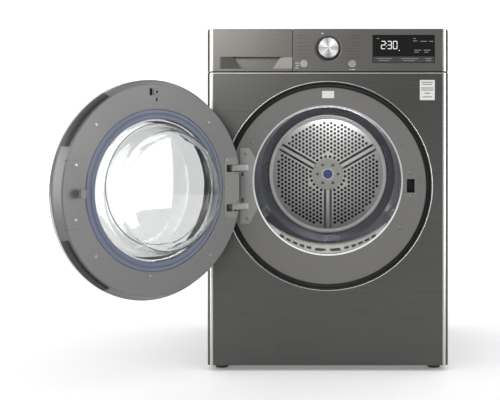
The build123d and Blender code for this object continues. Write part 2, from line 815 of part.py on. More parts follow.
# Lifters: three hollow paddles along the barrel, narrowing to a rounded crest.
lifter_ends = (drum_front + 40, barrel_end)
lifter_wall = 2.5
with BuildPart() as drum_lifters:
    for sector in sector_angles:
        turned = Plane(
            origin=(0, front_y + lifter_ends[0], drum_z),
            x_dir=(cos(radians(sector)), 0, sin(radians(sector))),
            z_dir=(0, -1, 0),
        )
        barrel_inside = drum_radius - sheet
        with BuildSketch(turned) as lifter_section:
            with BuildLine():
                Polyline(
                    (lifter_crest, -lifter_crest_width / 2),
                    (lifter_crest, lifter_crest_width / 2),
                    (drum_radius + 10, lifter_base_width / 2),
                    (drum_radius + 10, -lifter_base_width / 2),
                    close=True,
                )
            make_face()
            crest_corners = lifter_section.vertices().sort_by(Axis.X)[:2]
            fillet(crest_corners, radius=9)
            Circle(barrel_inside, mode=Mode.INTERSECT)
        extrude(lifter_section.sketch, amount=lifter_ends[0] - lifter_ends[1])
        with BuildSketch(turned.offset(-lifter_wall)) as lifter_hollow:
            with BuildLine():
                Polyline(
                    (lifter_crest + lifter_wall, -lifter_crest_width / 2 + lifter_wall),
                    (lifter_crest + lifter_wall, lifter_crest_width / 2 - lifter_wall),
                    (drum_radius + 10, lifter_base_width / 2 - lifter_wall),
                    (drum_radius + 10, -lifter_base_width / 2 + lifter_wall),
                    close=True,
                )
            make_face()
            hollow_corners = lifter_hollow.vertices().sort_by(Axis.X)[:2]
            fillet(hollow_corners, radius=6)
        hollow_length = lifter_ends[1] - lifter_ends[0] - 2 * lifter_wall
        extrude(lifter_hollow.sketch, amount=-hollow_length, mode=Mode.SUBTRACT)
write(drum_lifters, "drum_lifters")

# Hub plate: a pale moulded boss over the middle of the drum back.
hub_thickness = 5
with BuildPart() as hub_plate:
    ring(drum_centre, 19, hub_radius, step_end - hub_thickness, step_end)
    rim_edge = hub_plate.edges().filter_by(GeomType.CIRCLE).group_by(Axis.Y)[0].sort_by(Edge.length)
    fillet(rim_edge[-1], radius=2.5)
    with BuildSketch(facing(step_end - hub_thickness, 0, drum_z)) as hub_holes:
        with PolarLocations(hub_screw_circle, 6):
            Circle(2)
    extrude(hub_holes.sketch, amount=-hub_thickness, mode=Mode.SUBTRACT)
write(hub_plate, "hub_plate")

# Hub cap: a small domed button inside a ring, over the end of the shaft.
with BuildPart() as hub_cap:
    ring(drum_centre, 0, 13.6, step_end - 7, step_end)
    cap_edge = hub_cap.edges().filter_by(GeomType.CIRCLE).group_by(Axis.Y)[0]
    fillet(cap_edge, radius=1.5)
    ring(drum_centre, 0, 10.8, step_end - 9.5, step_end - 7)
    ring(drum_centre, 0, shaft_radius, step_end - 4, step_end, mode=Mode.SUBTRACT)
write(hub_cap, "hub_cap")

# Hub screws: six pan-headed screws through the hub plate into the shaft's flange.
flange_end = step_end + back_disc + 5
with BuildPart() as hub_screws:
    for step in range(6):
        turn = radians(60 * step)
        centre = (hub_screw_circle * cos(turn), drum_z + hub_screw_circle * sin(turn))
        ring(centre, 0, 4.4, step_end - hub_thickness - 2, step_end - hub_thickness)
        ring(centre, 0, 2, step_end - hub_thickness, flange_end)
write(hub_screws, "hub_screws")

# Drum shaft: a flange behind the drum back and the journal that carries the drum.
rear_plate = drum_back_face + bulkhead_gap
bearing_start = rear_plate - 2
bearing_end = bearing_start + bearing_length
with BuildPart() as drum_shaft:
    ring(drum_centre, 0, 40, step_end + back_disc, flange_end)
    ring(drum_centre, 0, shaft_radius, step_end - 4, bearing_end + 9)
    with BuildSketch(facing(step_end + back_disc, 0, drum_z)) as flange_holes:
        with PolarLocations(hub_screw_circle, 6):
            Circle(2)
    extrude(flange_holes.sketch, amount=-5, mode=Mode.SUBTRACT)
write(drum_shaft, "drum_shaft")

# ---------------------------------------------------------------- rear of the cabinet
# Rear bulkhead: the plate that carries the bearing, with the air inlet around it.
inlet_inner = 60
inlet_outer = 168
bearing_wall = 8
fan_inlet_radius = 40
rear_half = inner_half - 28.8
rear_back = rear_plate + bulkhead_sheet
with BuildPart() as rear_bulkhead:
    with BuildSketch(facing(rear_plate)) as rear_outline:
        with Locations((0, (tray_top + bulkhead_top) / 2)):
            Rectangle(2 * rear_half, bulkhead_top - tray_top)
        with Locations(drum_centre):
            Circle(inlet_outer, mode=Mode.SUBTRACT)
            Circle(inlet_inner)
            with PolarLocations(0, 3, start_angle=30):
                Rectangle(inlet_outer + 4, 24, align=(Align.MIN, Align.CENTER))
            Circle(bearing_radius, mode=Mode.SUBTRACT)
        with Locations(motor_centre):
            Circle(fan_inlet_radius, mode=Mode.SUBTRACT)
    extrude(amount=-bulkhead_sheet)
    ring(drum_centre, bearing_radius, bearing_radius + bearing_wall, rear_back, bearing_end)
    ring(drum_centre, inlet_outer + 4, inlet_outer + 10, step_end + sheet + contact_gap, rear_plate)
    for side in (-1, 1):
        slab(
            sorted((side * (rear_half - bulkhead_sheet), side * rear_half)),
            (rear_back, cabinet_depth - sheet),
            (tray_top, bulkhead_top),
        )
write(rear_bulkhead, "rear_bulkhead")

# Drum bearing: a sintered bush pressed into the rear bulkhead.
with BuildPart() as drum_bearing:
    ring(drum_centre, shaft_radius + shaft_gap, bearing_radius, bearing_start, bearing_end)
write(drum_bearing, "drum_bearing")

# Rear duct: the cover that leads hot air from the fan up to the drum's inlet.
duct_end = rear_plate + 36
duct_wall = 1.2
duct_radius = 190
duct_foot_radius = 58
with BuildPart() as rear_duct:
    with BuildSketch(facing(rear_back)) as duct_outline:
        with BuildLine():
            CenterArc(drum_centre, duct_radius, 0, 360)
            CenterArc(motor_centre, duct_foot_radius, 0, 360)
        make_hull()
    extrude(amount=rear_back - duct_end)
    with BuildSketch(facing(rear_back)) as duct_inside:
        with BuildLine():
            CenterArc(drum_centre, duct_radius - duct_wall, 0, 360)
            CenterArc(motor_centre, duct_foot_radius - duct_wall, 0, 360)
        make_hull()
    extrude(duct_inside.sketch, amount=rear_back - duct_end + duct_wall, mode=Mode.SUBTRACT)
write(rear_duct, "rear_duct")

# Cord gland: a flanged bush in the back panel that the supply lead passes through.
gland_bore = 4.5
with BuildPart() as cord_gland:
    centre = (gland_x, gland_z)
    ring(centre, gland_bore, gland_radius, cabinet_depth - 12, cabinet_depth + 6)
    ring(centre, gland_bore, gland_radius + 5, cabinet_depth, cabinet_depth + 3)
write(cord_gland, "cord_gland")

# ---------------------------------------------------------------- drive
# Drive belt: a flat loop around the drum, the motor pulley and the idler.
belt_gap = 0.4
with BuildPart() as drive_belt:
    for reach, mode in ((belt_gap + belt_thickness, Mode.ADD), (belt_gap, Mode.SUBTRACT)):
        with BuildSketch(facing(belt_depth)) as belt_outline:
            with BuildLine():
                CenterArc(drum_centre, drum_radius + reach, 0, 360)
                CenterArc(motor_centre, pulley_radius + reach, 0, 360)
                CenterArc(idler_centre, idler_radius + reach, 0, 360)
            make_hull()
        extrude(belt_outline.sketch, amount=-belt_width, mode=mode)
write(drive_belt, "drive_belt")

# Motor: a finned can on a cradle that stands on the base.
motor_start = belt_depth + 20
motor_end = motor_start + 125
motor_shaft_radius = 6
cradle_half = 40
cradle_span = (motor_start + 20, motor_end - 20)
tray_floor = tray_bottom + tray_wall
with BuildPart() as motor:
    ring(motor_centre, 0, 45, motor_start + 8, motor_end - 8)
    ring(motor_centre, 0, 20, motor_start, motor_end)
    slab((motor_x - cradle_half, motor_x + cradle_half), cradle_span, (tray_floor, motor_z - 30))
    ring(motor_centre, 0, motor_shaft_radius + shaft_gap, motor_start, motor_end, mode=Mode.SUBTRACT)
    slab(
        (motor_x - cradle_half + 15, motor_x + cradle_half - 15),
        cradle_span,
        (tray_floor, tray_floor + 18),
        mode=Mode.SUBTRACT,
    )
write(motor, "motor")

fan_start = motor_end + 30
fan_end = fan_start + 45
fan_radius = 70

# Motor rotor: the shaft with the grooved belt pulley at its front end.
with BuildPart() as motor_rotor:
    ring(motor_centre, 0, motor_shaft_radius, belt_depth - 5, fan_end + 7)
    ring(motor_centre, 0, pulley_radius, belt_depth - 1, belt_depth + belt_width + 1)
    ring(motor_centre, 0, pulley_radius + 3, belt_depth - 3, belt_depth - 1)
    ring(motor_centre, 0, pulley_radius + 3, belt_depth + belt_width + 1, belt_depth + belt_width + 3)
write(motor_rotor, "motor_rotor")

# Fan wheel: a backplate, a hub and a ring of blades on the motor's rear end.
with BuildPart() as fan_wheel:
    ring(motor_centre, motor_shaft_radius, fan_radius, fan_start, fan_start + 3)
    ring(motor_centre, motor_shaft_radius, 14, fan_start, fan_end)
    ring(motor_centre, fan_radius - 3, fan_radius, fan_end - 4, fan_end)
    with BuildSketch(facing(fan_start + 3, motor_x, motor_z)) as blades:
        with PolarLocations(fan_radius - 14, 24):
            Rectangle(24, 2, rotation=25)
        Circle(fan_radius, mode=Mode.INTERSECT)
    extrude(blades.sketch, amount=fan_start + 3 - fan_end)
write(fan_wheel, "fan_wheel")

idler_axle_radius = 4

# Idler arm: a bracket from the base with the axle that holds the belt's idler out.
with BuildPart() as idler_arm:
    slab((idler_x - 14, idler_x + 14), (belt_depth + 16, belt_depth + 20), (tray_floor, idler_z + 14))
    slab((idler_x - 14, idler_x + 14), (belt_depth + 16, belt_depth + 50), (tray_floor, tray_floor + 3))
    ring(idler_centre, 0, idler_axle_radius, belt_depth - 4, belt_depth + 16)
    ring(idler_centre, 0, 7, belt_depth + belt_width + 3, belt_depth + 16)
write(idler_arm, "idler_arm")

# Idler pulley: a flanged wheel that presses the belt outwards.
with BuildPart() as idler_pulley:
    track_end = belt_depth + belt_width + 1
    axle_fit = idler_axle_radius + shaft_gap
    ring(idler_centre, axle_fit, idler_radius, belt_depth - 1, track_end)
    ring(idler_centre, axle_fit, idler_radius + 3, belt_depth - 2.5, belt_depth - 1)
    ring(idler_centre, axle_fit, idler_radius + 3, track_end, track_end + 1.5)
write(idler_pulley, "idler_pulley")

# Support rollers: two tyred wheels under the front of the drum.
for name, side in (("roller_left", -1), ("roller_right", 1)):
    with BuildPart() as roller:
        centre = (side * roller_x, roller_z)
        ring(centre, roller_pin + shaft_gap, roller_radius, roller_start, roller_start + roller_width)
        fillet(roller.edges().filter_by(GeomType.CIRCLE).sort_by(Edge.length)[-2:], radius=2)
    write(roller, name)

# ---------------------------------------------------------------- base
# Base tray: a moulded floor with a raised wall, four stud bosses and two fixed rear feet.
tray_half = inner_half - 11
tray_span = (34, cabinet_depth - 10)
boss_radius = 12
rear_foot_depth = cabinet_depth - foot_inset
with BuildPart() as base_tray:
    slab((-tray_half, tray_half), tray_span, (tray_bottom, tray_top))
    fillet(base_tray.edges().filter_by(Axis.Z), radius=8)
    slab(
        (-tray_half + tray_wall, tray_half - tray_wall),
        (tray_span[0] + tray_wall, tray_span[1] - tray_wall),
        (tray_floor, tray_top),
        mode=Mode.SUBTRACT,
    )
    for side in (-1, 1):
        with BuildSketch(level(tray_bottom)) as boss:
            with Locations((side * foot_x, foot_inset)):
                Circle(boss_radius)
        extrude(boss.sketch, amount=tray_height)
        with BuildSketch(level(tray_bottom)) as stud_hole:
            with Locations((side * foot_x, foot_inset)):
                Circle(stud_radius + contact_gap)
        extrude(stud_hole.sketch, amount=tray_height, mode=Mode.SUBTRACT)
        with BuildSketch(level(0)) as rear_foot:
            with Locations((side * foot_x, rear_foot_depth)):
                Circle(foot_radius)
        extrude(rear_foot.sketch, amount=foot_gap - 1)
        with BuildSketch(level(foot_gap - 1)) as rear_neck:
            with Locations((side * (foot_x - 2), rear_foot_depth)):
                Circle(9)
        extrude(rear_neck.sketch, amount=tray_bottom - foot_gap + 1)
write(base_tray, "base_tray")

# Front feet: a round pad on a stud that threads up into the base.
for name, side in (("foot_left", -1), ("foot_right", 1)):
    with BuildPart() as foot:
        with BuildSketch(level(0)) as pad:
            with Locations((side * foot_x, foot_inset)):
                Circle(foot_radius)
        extrude(pad.sketch, amount=foot_gap - 4)
        top_edge = foot.edges().filter_by(GeomType.CIRCLE).group_by(Axis.Z)[-1]
        chamfer(top_edge, length=2)
        with BuildSketch(level(foot_gap - 4)) as stud:
            with Locations((side * foot_x, foot_inset)):
                Circle(stud_radius)
        extrude(stud.sketch, amount=tray_top - foot_gap)
    write(foot, name)

# Compressor: a welded pot with a domed lid on three rubber-footed lugs.
compressor_x = 190
compressor_depth = 150
with BuildPart() as compressor:
    with BuildSketch(level(tray_floor + 18)) as pot:
        with Locations((compressor_x, compressor_depth)):
            Circle(60)
    extrude(pot.sketch, amount=150)
    fillet(compressor.edges().filter_by(GeomType.CIRCLE), radius=22)
    with BuildSketch(level(tray_floor + 14)) as lug_plate:
        with Locations((compressor_x, compressor_depth)):
            RegularPolygon(84, 3)
        fillet(lug_plate.vertices(), radius=14)
    extrude(lug_plate.sketch, amount=4)
    with BuildSketch(level(tray_floor)) as grommets:
        with Locations((compressor_x, compressor_depth)):
            with PolarLocations(66, 3):
                Circle(11)
    extrude(grommets.sketch, amount=14)
write(compressor, "compressor")

# Heat exchangers: the cold and the hot coil, each a pack of thin fins on five rows of tube
# between two end plates, joined to the compressor by copper pipe.
pipe_radius = 4
pipe_turn = 36
coil_left = -250
coil_right = -30
coil_top = 150
fin_pitch = 11
fin_thickness = 0.5
end_plate = 1.5
tube_rows = 5
tube_pitch = 22
return_bend = 12
with BuildPart() as heat_exchangers:
    coil_middle, coil_width = span(coil_left, coil_right)
    for coil_range in ((130, 230), (262, 402)):
        for end in ((coil_left, coil_left + end_plate), (coil_right - end_plate, coil_right)):
            slab(end, coil_range, (tray_floor, coil_top))
        coil_centre, coil_length = span(*coil_range)
        fin_bottom = tray_floor + 8
        with Locations((coil_middle, front_y + coil_centre, (fin_bottom + coil_top) / 2)):
            with GridLocations(fin_pitch, 0, int(coil_width / fin_pitch) - 1, 1):
                Box(fin_thickness, coil_length - 8, coil_top - fin_bottom - 4)
        for row in range(tube_rows):
            tube_z = fin_bottom + 18 + row * tube_pitch
            for tube_depth in (coil_range[0] + 25, coil_range[1] - 25):
                with Locations((coil_middle, front_y + tube_depth, tube_z)):
                    Cylinder(pipe_radius, coil_width + 2 * return_bend - 8, rotation=(0, 90, 0))
            slab(
                (coil_left - return_bend, coil_left - return_bend + 8),
                (coil_range[0] + 25, coil_range[1] - 25),
                (tube_z - pipe_radius, tube_z + pipe_radius),
            )
    for coil_depth, pipe_z in ((380, 64), (180, 84)):
        with BuildLine() as pipe_path:
            FilletPolyline(
                (coil_right, front_y + coil_depth, pipe_z),
                (pipe_turn, front_y + coil_depth, pipe_z),
                (pipe_turn, front_y + compressor_depth, pipe_z),
                (compressor_x - 60, front_y + compressor_depth, pipe_z),
                radius=12,
            )
        with BuildSketch(Plane(origin=(coil_right, front_y + coil_depth, pipe_z), z_dir=(1, 0, 0))):
            Circle(pipe_radius)
        sweep(path=pipe_path.line)
write(heat_exchangers, "heat_exchangers")

# Drain pump: a small motor over a strainer cup in the rear corner of the base.
pump_x = -238
pump_depth = 520
with BuildPart() as drain_pump:
    with BuildSketch(level(tray_floor)) as cup:
        with Locations((pump_x, pump_depth)):
            Circle(32)
    extrude(cup.sketch, amount=38)
    with BuildSketch(level(tray_floor + 38)) as pump_can:
        with Locations((pump_x, pump_depth)):
            Circle(22)
    extrude(pump_can.sketch, amount=46)
    slab((-284, pump_x - 20), (pump_depth + 18, pump_depth + 30), (tray_floor, tray_floor + 34))
write(drain_pump, "drain_pump")

# Pump hose: a straight riser behind the drum, turned forward into the tank's sleeve.
hose_x = -279
hose_depth = pump_depth + 24
hose_top = tank_z[1] - 26
with BuildPart() as pump_hose:
    with BuildLine() as hose_path:
        FilletPolyline(
            (hose_x, front_y + hose_depth, tray_floor + 34),
            (hose_x, front_y + hose_depth, hose_top),
            (hose_x, front_y + tank_depth[1] + 3.5, hose_top),
            radius=30,
        )
    with BuildSketch(Plane(origin=(hose_x, front_y + hose_depth, tray_floor + 34))) as hose_section:
        Circle(5)
    sweep()
write(pump_hose, "pump_hose")

# ---------------------------------------------------------------- door
# Hinge notches clear the cabinet's arms over the whole swing.
notch_gap = 2
notch_floor = -34
notch_end = -197


def hinge_notches():
    for arm_z in arm_heights:
        reach = arm_height / 2 + notch_gap
        slab((-262, notch_end), (notch_floor, door_face + 3), (arm_z - reach, arm_z + reach),
             mode=Mode.SUBTRACT)


# Door cover: the dished outer shell around the window.
rim_start = rim_depth - trim_height
shell_inner = rim_radius - door_wall
pane_face = cover_depth + door_wall
with BuildPart() as door_cover:
    with BuildSketch(profile_plane(0, recess_z)) as cover_profile:
        with BuildLine():
            Line((rim_start, shell_inner), (rim_start, rim_radius))
            Line((rim_start, rim_radius), (rim_start - 2, rim_radius))
            ThreePointArc((rim_start - 2, rim_radius), cover_shoulder, (cover_depth, cover_face_radius))
            Line((cover_depth, cover_face_radius), (cover_depth, cover_hole_radius))
            Line((cover_depth, cover_hole_radius), (pane_face, cover_hole_radius))
            Line((pane_face, cover_hole_radius), (pane_face, cover_face_radius - 1))
            shoulder_inside = (cover_shoulder[0] + 2.2, cover_shoulder[1] - 2.2)
            ThreePointArc((pane_face, cover_face_radius - 1), shoulder_inside, (rim_start - 2, shell_inner))
            Line((rim_start - 2, shell_inner), (rim_start, shell_inner))
        make_face()
    revolve(axis=recess_axis)
    hinge_notches()
write_open(door_cover, "door_cover")

# Door trim: the bright band around the rim.
with BuildPart() as door_trim:
    ring(recess_centre, shell_inner, rim_radius, rim_start, rim_depth)
    hinge_notches()
write_open(door_trim, "door_trim")

# Door window: the tinted outer pane, seated behind the cover's inner edge.
with BuildPart() as door_window:
    ring(recess_centre, 0, cover_hole_radius - contact_gap, cover_depth - 0.5, pane_face)
    ring(recess_centre, 0, cover_hole_radius + 6, pane_face, pane_face + 2.5)
write_open(door_window, "door_window")

# Door frame: the inner moulding, from the rim in to the seal's seat and the bowl's clamp.
leaf_range = (385, 532)
leaf_x = (-228, -190)
barrel_range = (424, 491)
door_screw_places = ((159, 608), (160, 321), (21, 266), (-144, 615), (-148, 300))
latch_cover_screws = ((208, 521), (209, 403))
leaf_screw_places = ((-198, 524), (-199, 458), (-202, 393))
catch_place = (4, recess_z + 224.5)
catch_size = (16, 14)
catch_height = 2.2
with BuildPart() as door_frame:
    with BuildSketch(profile_plane(0, recess_z)) as frame_profile:
        with BuildLine():
            Polyline(
                (door_face, seal_radius + 1),
                (door_face, door_face_radius),
                (door_face - 1.2, door_face_radius + 1.6),
                (rim_depth + 5, rim_radius - 3.5),
                (rim_depth + 2, rim_radius - 0.5),
                (rim_depth, rim_radius - 0.5),
                (rim_depth, shell_inner),
                (rim_depth + 2, rim_radius - 6),
                (door_face - door_wall - 1, door_face_radius - 2),
                (door_face - door_wall, door_face_radius - 3),
                (door_face - door_wall, seal_radius + 1 + door_wall),
                (-2, seal_radius + 1 + door_wall),
                (-2, seal_hole_radius),
                (1, seal_hole_radius),
                (1, seal_radius + 1),
                close=True,
            )
        make_face()
    revolve(axis=recess_axis)
    hinge_notches()
    slab(leaf_x, (2, door_face + 1), leaf_range, mode=Mode.SUBTRACT)
    slab((-240, leaf_x[0] + 2), (-30, door_face + 1), barrel_range, mode=Mode.SUBTRACT)
    with BuildSketch(facing(door_face)) as screw_holes:
        with Locations(*door_screw_places, *latch_cover_screws, *leaf_screw_places):
            Circle(2)
    extrude(screw_holes.sketch, amount=2 * door_wall, both=True, mode=Mode.SUBTRACT)
    with BuildSketch(facing(door_face - door_wall)) as catch_boss:
        with Locations(catch_place):
            RectangleRounded(*catch_size, 4)
    extrude(catch_boss.sketch, amount=-door_wall - catch_height)
    with BuildSketch(facing(door_face + catch_height)) as catch_holes:
        with Locations(catch_place):
            Circle(3)
        with Locations((catch_place[0] + 14.5, catch_place[1])):
            Rectangle(7, 16)
        with Locations((catch_place[0] - 1, catch_place[1] - 17.5)):
            Rectangle(4, 8)
    extrude(catch_holes.sketch, amount=catch_height + door_wall, mode=Mode.SUBTRACT)
write_open(door_frame, "door_frame")

# Door bowl: the clear moulding that reaches into the drum's mouth, clamped under the frame.
bowl_flange = seal_hole_radius + 13
bowl_neck = seal_hole_radius - 17
bowl_end_radius = seal_hole_radius - 26
dome_join = seal_hole_radius - 49
bowl_end = 82
bowl_wall = 4
dome_radius = 1000


def dome(crown, radius):
    """Depth of a shallow dome, whose centre lies on the door's axis, at a distance from that axis."""
    return crown - dome_radius + sqrt(dome_radius**2 - radius**2)


with BuildPart() as door_bowl:
    with BuildSketch(profile_plane(0, recess_z)) as bowl_profile:
        with BuildLine():
            Line((-6, bowl_flange), (-2, bowl_flange))
            Line((-2, bowl_flange), (-2, seal_hole_radius - 1.5))
            Line((-2, seal_hole_radius - 1.5), (2, seal_hole_radius - 2.5))
            ThreePointArc((2, seal_hole_radius - 2.5), (8, bowl_neck + 5), (17, bowl_neck))
            Line((17, bowl_neck), (58, bowl_end_radius))
            rim_crown = (dome(bowl_end, dome_join), dome_join)
            ThreePointArc((58, bowl_end_radius), (70.5, bowl_end_radius - 7.5), rim_crown)
            ThreePointArc(rim_crown, (dome(bowl_end, 60), 60), (bowl_end, 0))
            inner_crown = (dome(bowl_end - bowl_wall, dome_join - 2), dome_join - 2)
            Line((bowl_end, 0), (bowl_end - bowl_wall, 0))
            ThreePointArc((bowl_end - bowl_wall, 0), (dome(bowl_end - bowl_wall, 60), 60), inner_crown)
            ThreePointArc(inner_crown, (67.5, bowl_end_radius - 11), (57, bowl_end_radius - bowl_wall))
            Line((57, bowl_end_radius - bowl_wall), (16, bowl_neck - bowl_wall))
            ThreePointArc((16, bowl_neck - bowl_wall), (5, bowl_neck + 1.6), (-6, bowl_neck + 11))
            Line((-6, bowl_neck + 11), (-6, bowl_flange))
        make_face()
    revolve(axis=recess_axis)
write_open(door_bowl, "door_bowl")

# Door seal: two soft bands on the frame's seat around the bowl, clear of the opening's trim.
seal_crest = surround_depth - trim_lip - 0.5
with BuildPart() as door_seal:
    with BuildSketch(profile_plane(0, recess_z)) as seal_profile:
        with BuildLine():
            Polyline(
                (1, seal_radius),
                (1, seal_hole_radius),
                (seal_crest - 1.5, seal_hole_radius),
                (seal_crest, seal_hole_radius + 2),
                (seal_crest, seal_hole_radius + 8),
                (3.5, seal_hole_radius + 10),
                (3.5, seal_hole_radius + 12),
                (5.2, seal_hole_radius + 14),
                (5.2, seal_radius - 2),
                (3.5, seal_radius),
                close=True,
            )
        make_face()
    revolve(axis=recess_axis)
write_open(door_seal, "door_seal")

# Door hinge leaf: a plate let into the frame, a web and the barrel that turns on the pin.
leaf_top = door_face + 0.6
leaf_thickness = 2.6
with BuildPart() as hinge_leaf:
    slab(
        (leaf_x[0] + 0.2, leaf_x[1] - 0.2),
        (leaf_top - leaf_thickness, leaf_top),
        (leaf_range[0] + 0.2, leaf_range[1] - 0.2),
    )
    fillet(hinge_leaf.edges().filter_by(Axis.Y), radius=3)
    web_range = (barrel_range[0] + 1, barrel_range[1] - 1)
    slab((hinge_x - 1, hinge_x + 3), (hinge_depth + 3, leaf_top - leaf_thickness), web_range)
    slab((hinge_x - 1, leaf_x[0] + 4), (leaf_top - leaf_thickness, leaf_top), web_range)
    with BuildSketch(level(web_range[0])) as barrel:
        with Locations((hinge_x, hinge_depth)):
            Circle(knuckle_radius)
    extrude(barrel.sketch, amount=web_range[1] - web_range[0])
    with BuildSketch(level(barrel_range[0])) as barrel_bore:
        with Locations((hinge_x, hinge_depth)):
            Circle(pin_radius + shaft_gap)
    extrude(barrel_bore.sketch, amount=barrel_range[1] - barrel_range[0], mode=Mode.SUBTRACT)
    hinge_notches()
    with BuildSketch(facing(door_face)) as leaf_holes:
        with Locations(*leaf_screw_places):
            Circle(2)
    extrude(leaf_holes.sketch, amount=4, both=True, mode=Mode.SUBTRACT)
write_open(hinge_leaf, "door_hinge_leaf")

# Latch: a cover plate on the free side of the frame, with the hook that enters the latch.
latch_cover_thickness = 0.9
with BuildPart() as door_latch:
    with BuildSketch(facing(door_face)) as latch_cover:
        with Locations(recess_centre):
            Circle(door_face_radius - 1)
            Circle(seal_radius + 3, mode=Mode.SUBTRACT)
        with Locations((latch_x - 22.5, latch_z - 2.6)):
            Rectangle(80, 148, align=(Align.MIN, Align.CENTER), mode=Mode.INTERSECT)
        with Locations(*latch_cover_screws):
            Circle(2, mode=Mode.SUBTRACT)
    extrude(latch_cover.sketch, amount=-latch_cover_thickness)
    slab((latch_x - 5, latch_x + 5), (door_face, 32), (latch_z - 9, latch_z + 9))
    slab((latch_x - 7.5, latch_x - 5), (26, 32), (latch_z - 9, latch_z + 9))
    slab((latch_x - 5, latch_x + 5), (12, 23), (latch_z - 5, latch_z + 5), mode=Mode.SUBTRACT)
write_open(door_latch, "door_latch")

# Door screws: pan heads on the frame, and flatter ones on the leaf that clear the hinge plate.
with BuildPart() as door_screws:
    screw_sets = (
        (door_screw_places, door_face, 1.6),
        (latch_cover_screws, door_face + latch_cover_thickness, 1.6),
        (leaf_screw_places, leaf_top, 0.9),
    )
    for places, seat, head in screw_sets:
        for place in places:
            ring(place, 0, head_radius, seat, seat + head)
            ring(place, 0, shank_radius, 0, seat)
write_open(door_screws, "door_screws")
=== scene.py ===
import math
import bmesh
import bpy
from mathutils import Matrix, Vector


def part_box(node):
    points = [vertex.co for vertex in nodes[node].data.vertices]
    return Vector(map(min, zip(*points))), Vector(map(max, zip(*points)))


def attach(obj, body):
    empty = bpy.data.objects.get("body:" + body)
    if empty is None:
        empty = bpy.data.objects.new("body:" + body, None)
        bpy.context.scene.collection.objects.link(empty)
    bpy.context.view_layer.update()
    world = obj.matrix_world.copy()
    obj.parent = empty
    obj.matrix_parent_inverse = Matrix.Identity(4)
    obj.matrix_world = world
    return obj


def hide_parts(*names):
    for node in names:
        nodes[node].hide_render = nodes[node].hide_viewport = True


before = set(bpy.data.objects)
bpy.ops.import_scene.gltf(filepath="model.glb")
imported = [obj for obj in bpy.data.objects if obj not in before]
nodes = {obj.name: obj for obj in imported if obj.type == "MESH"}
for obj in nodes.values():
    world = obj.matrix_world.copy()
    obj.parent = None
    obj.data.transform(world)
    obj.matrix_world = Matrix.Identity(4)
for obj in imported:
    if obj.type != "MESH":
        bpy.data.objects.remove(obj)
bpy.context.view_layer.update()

# The camera stands square to the cabinet's front, a little above the middle of the door, and
# looks straight into the machine. The small shift brings the open door into view.
front_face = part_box("front_panel")[0].y
cabinet_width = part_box("front_panel")[1].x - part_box("front_panel")[0].x
camera_data = bpy.data.cameras.new("camera")
camera_data.sensor_width = 36
camera_distance = 2.5
camera_height = 0.58
view_width = 1.242
camera_data.lens = camera_data.sensor_width * camera_distance / view_width
camera_data.shift_x = -0.1556
camera_data.shift_y = -0.125
camera = bpy.data.objects.new("camera", camera_data)
camera.location = (0, front_face - camera_distance, camera_height)
camera.rotation_euler = (math.radians(90), 0, 0)
bpy.context.scene.collection.objects.link(camera)
bpy.context.scene.camera = camera


# Floor: a studio sweep of matt white paper that curves up into a wall far behind. The paper has
# a faint fibre and no shine, and a little emission keeps it clean white.
def colour(code):
    """Turns an sRGB hex value into the linear colour that a shader takes."""
    channels = [int(code[i:i + 2], 16) / 255 for i in (1, 3, 5)]
    linear = [c / 12.92 if c <= 0.04045 else ((c + 0.055) / 1.055) ** 2.4 for c in channels]
    return (*linear, 1)


def add(tree, kind, links=None, **settings):
    """Adds a node: settings are its properties, links map its inputs to values or sockets."""
    made = tree.nodes.new(kind)
    for name, value in settings.items():
        setattr(made, name, value)
    for name, value in (links or {}).items():
        socket = made.inputs[name]
        if isinstance(value, bpy.types.NodeSocket):
            tree.links.new(value, socket)
        else:
            socket.default_value = value
    return made


def finish(name, light, dark, grain_mm, gloss, relief_mm=0.0, stretch=(1, 1, 1), **sockets):
    """Makes a surface whose colour and gloss wander over a grain of a real size in millimetres."""
    made = bpy.data.materials.new(name)
    made.use_nodes = True
    tree = made.node_tree
    shader = tree.nodes["Principled BSDF"]
    place = add(tree, "ShaderNodeTexCoord")
    lay = add(tree, "ShaderNodeMapping", {"Vector": place.outputs["Object"], "Scale": stretch})
    grain = add(
        tree, "ShaderNodeTexNoise",
        {"Vector": lay.outputs["Vector"], "Scale": 1000 / grain_mm, "Detail": 3.0},
    )
    # A second, broad noise is the slight cloudiness that handling and uneven coating leave.
    cloud_mm = 180
    cloud = add(
        tree, "ShaderNodeTexNoise",
        {"Vector": place.outputs["Object"], "Scale": 1000 / cloud_mm, "Detail": 2.0},
    )
    spread = add(
        tree, "ShaderNodeMapRange",
        {"Value": grain.outputs["Fac"], "From Min": 0.3, "From Max": 0.7},
    )
    shade = add(
        tree, "ShaderNodeMix",
        {0: spread.outputs["Result"], 6: colour(light), 7: colour(dark)}, data_type="RGBA",
    )
    tree.links.new(shade.outputs[2], shader.inputs["Base Color"])
    polish = add(
        tree, "ShaderNodeMapRange",
        {"Value": cloud.outputs["Fac"], "From Min": 0.3, "From Max": 0.7,
         "To Min": gloss * 0.9, "To Max": gloss * 1.12},
    )
    tree.links.new(polish.outputs["Result"], shader.inputs["Roughness"])
    if relief_mm:
        bump = add(
            tree, "ShaderNodeBump",
            {"Height": grain.outputs["Fac"], "Distance": relief_mm / 1000, "Strength": 0.5},
        )
        tree.links.new(bump.outputs["Normal"], shader.inputs["Normal"])
    for socket, value in sockets.items():
        shader.inputs[socket.replace("_", " ")].default_value = value
    return made


# Room: white on every side, so its light is even and the shadows are soft.
world = bpy.data.worlds.new("white_room")
world.use_nodes = True
room = world.node_tree
backdrop = room.nodes["Background"]
backdrop.inputs["Color"].default_value = colour("#ffffff")
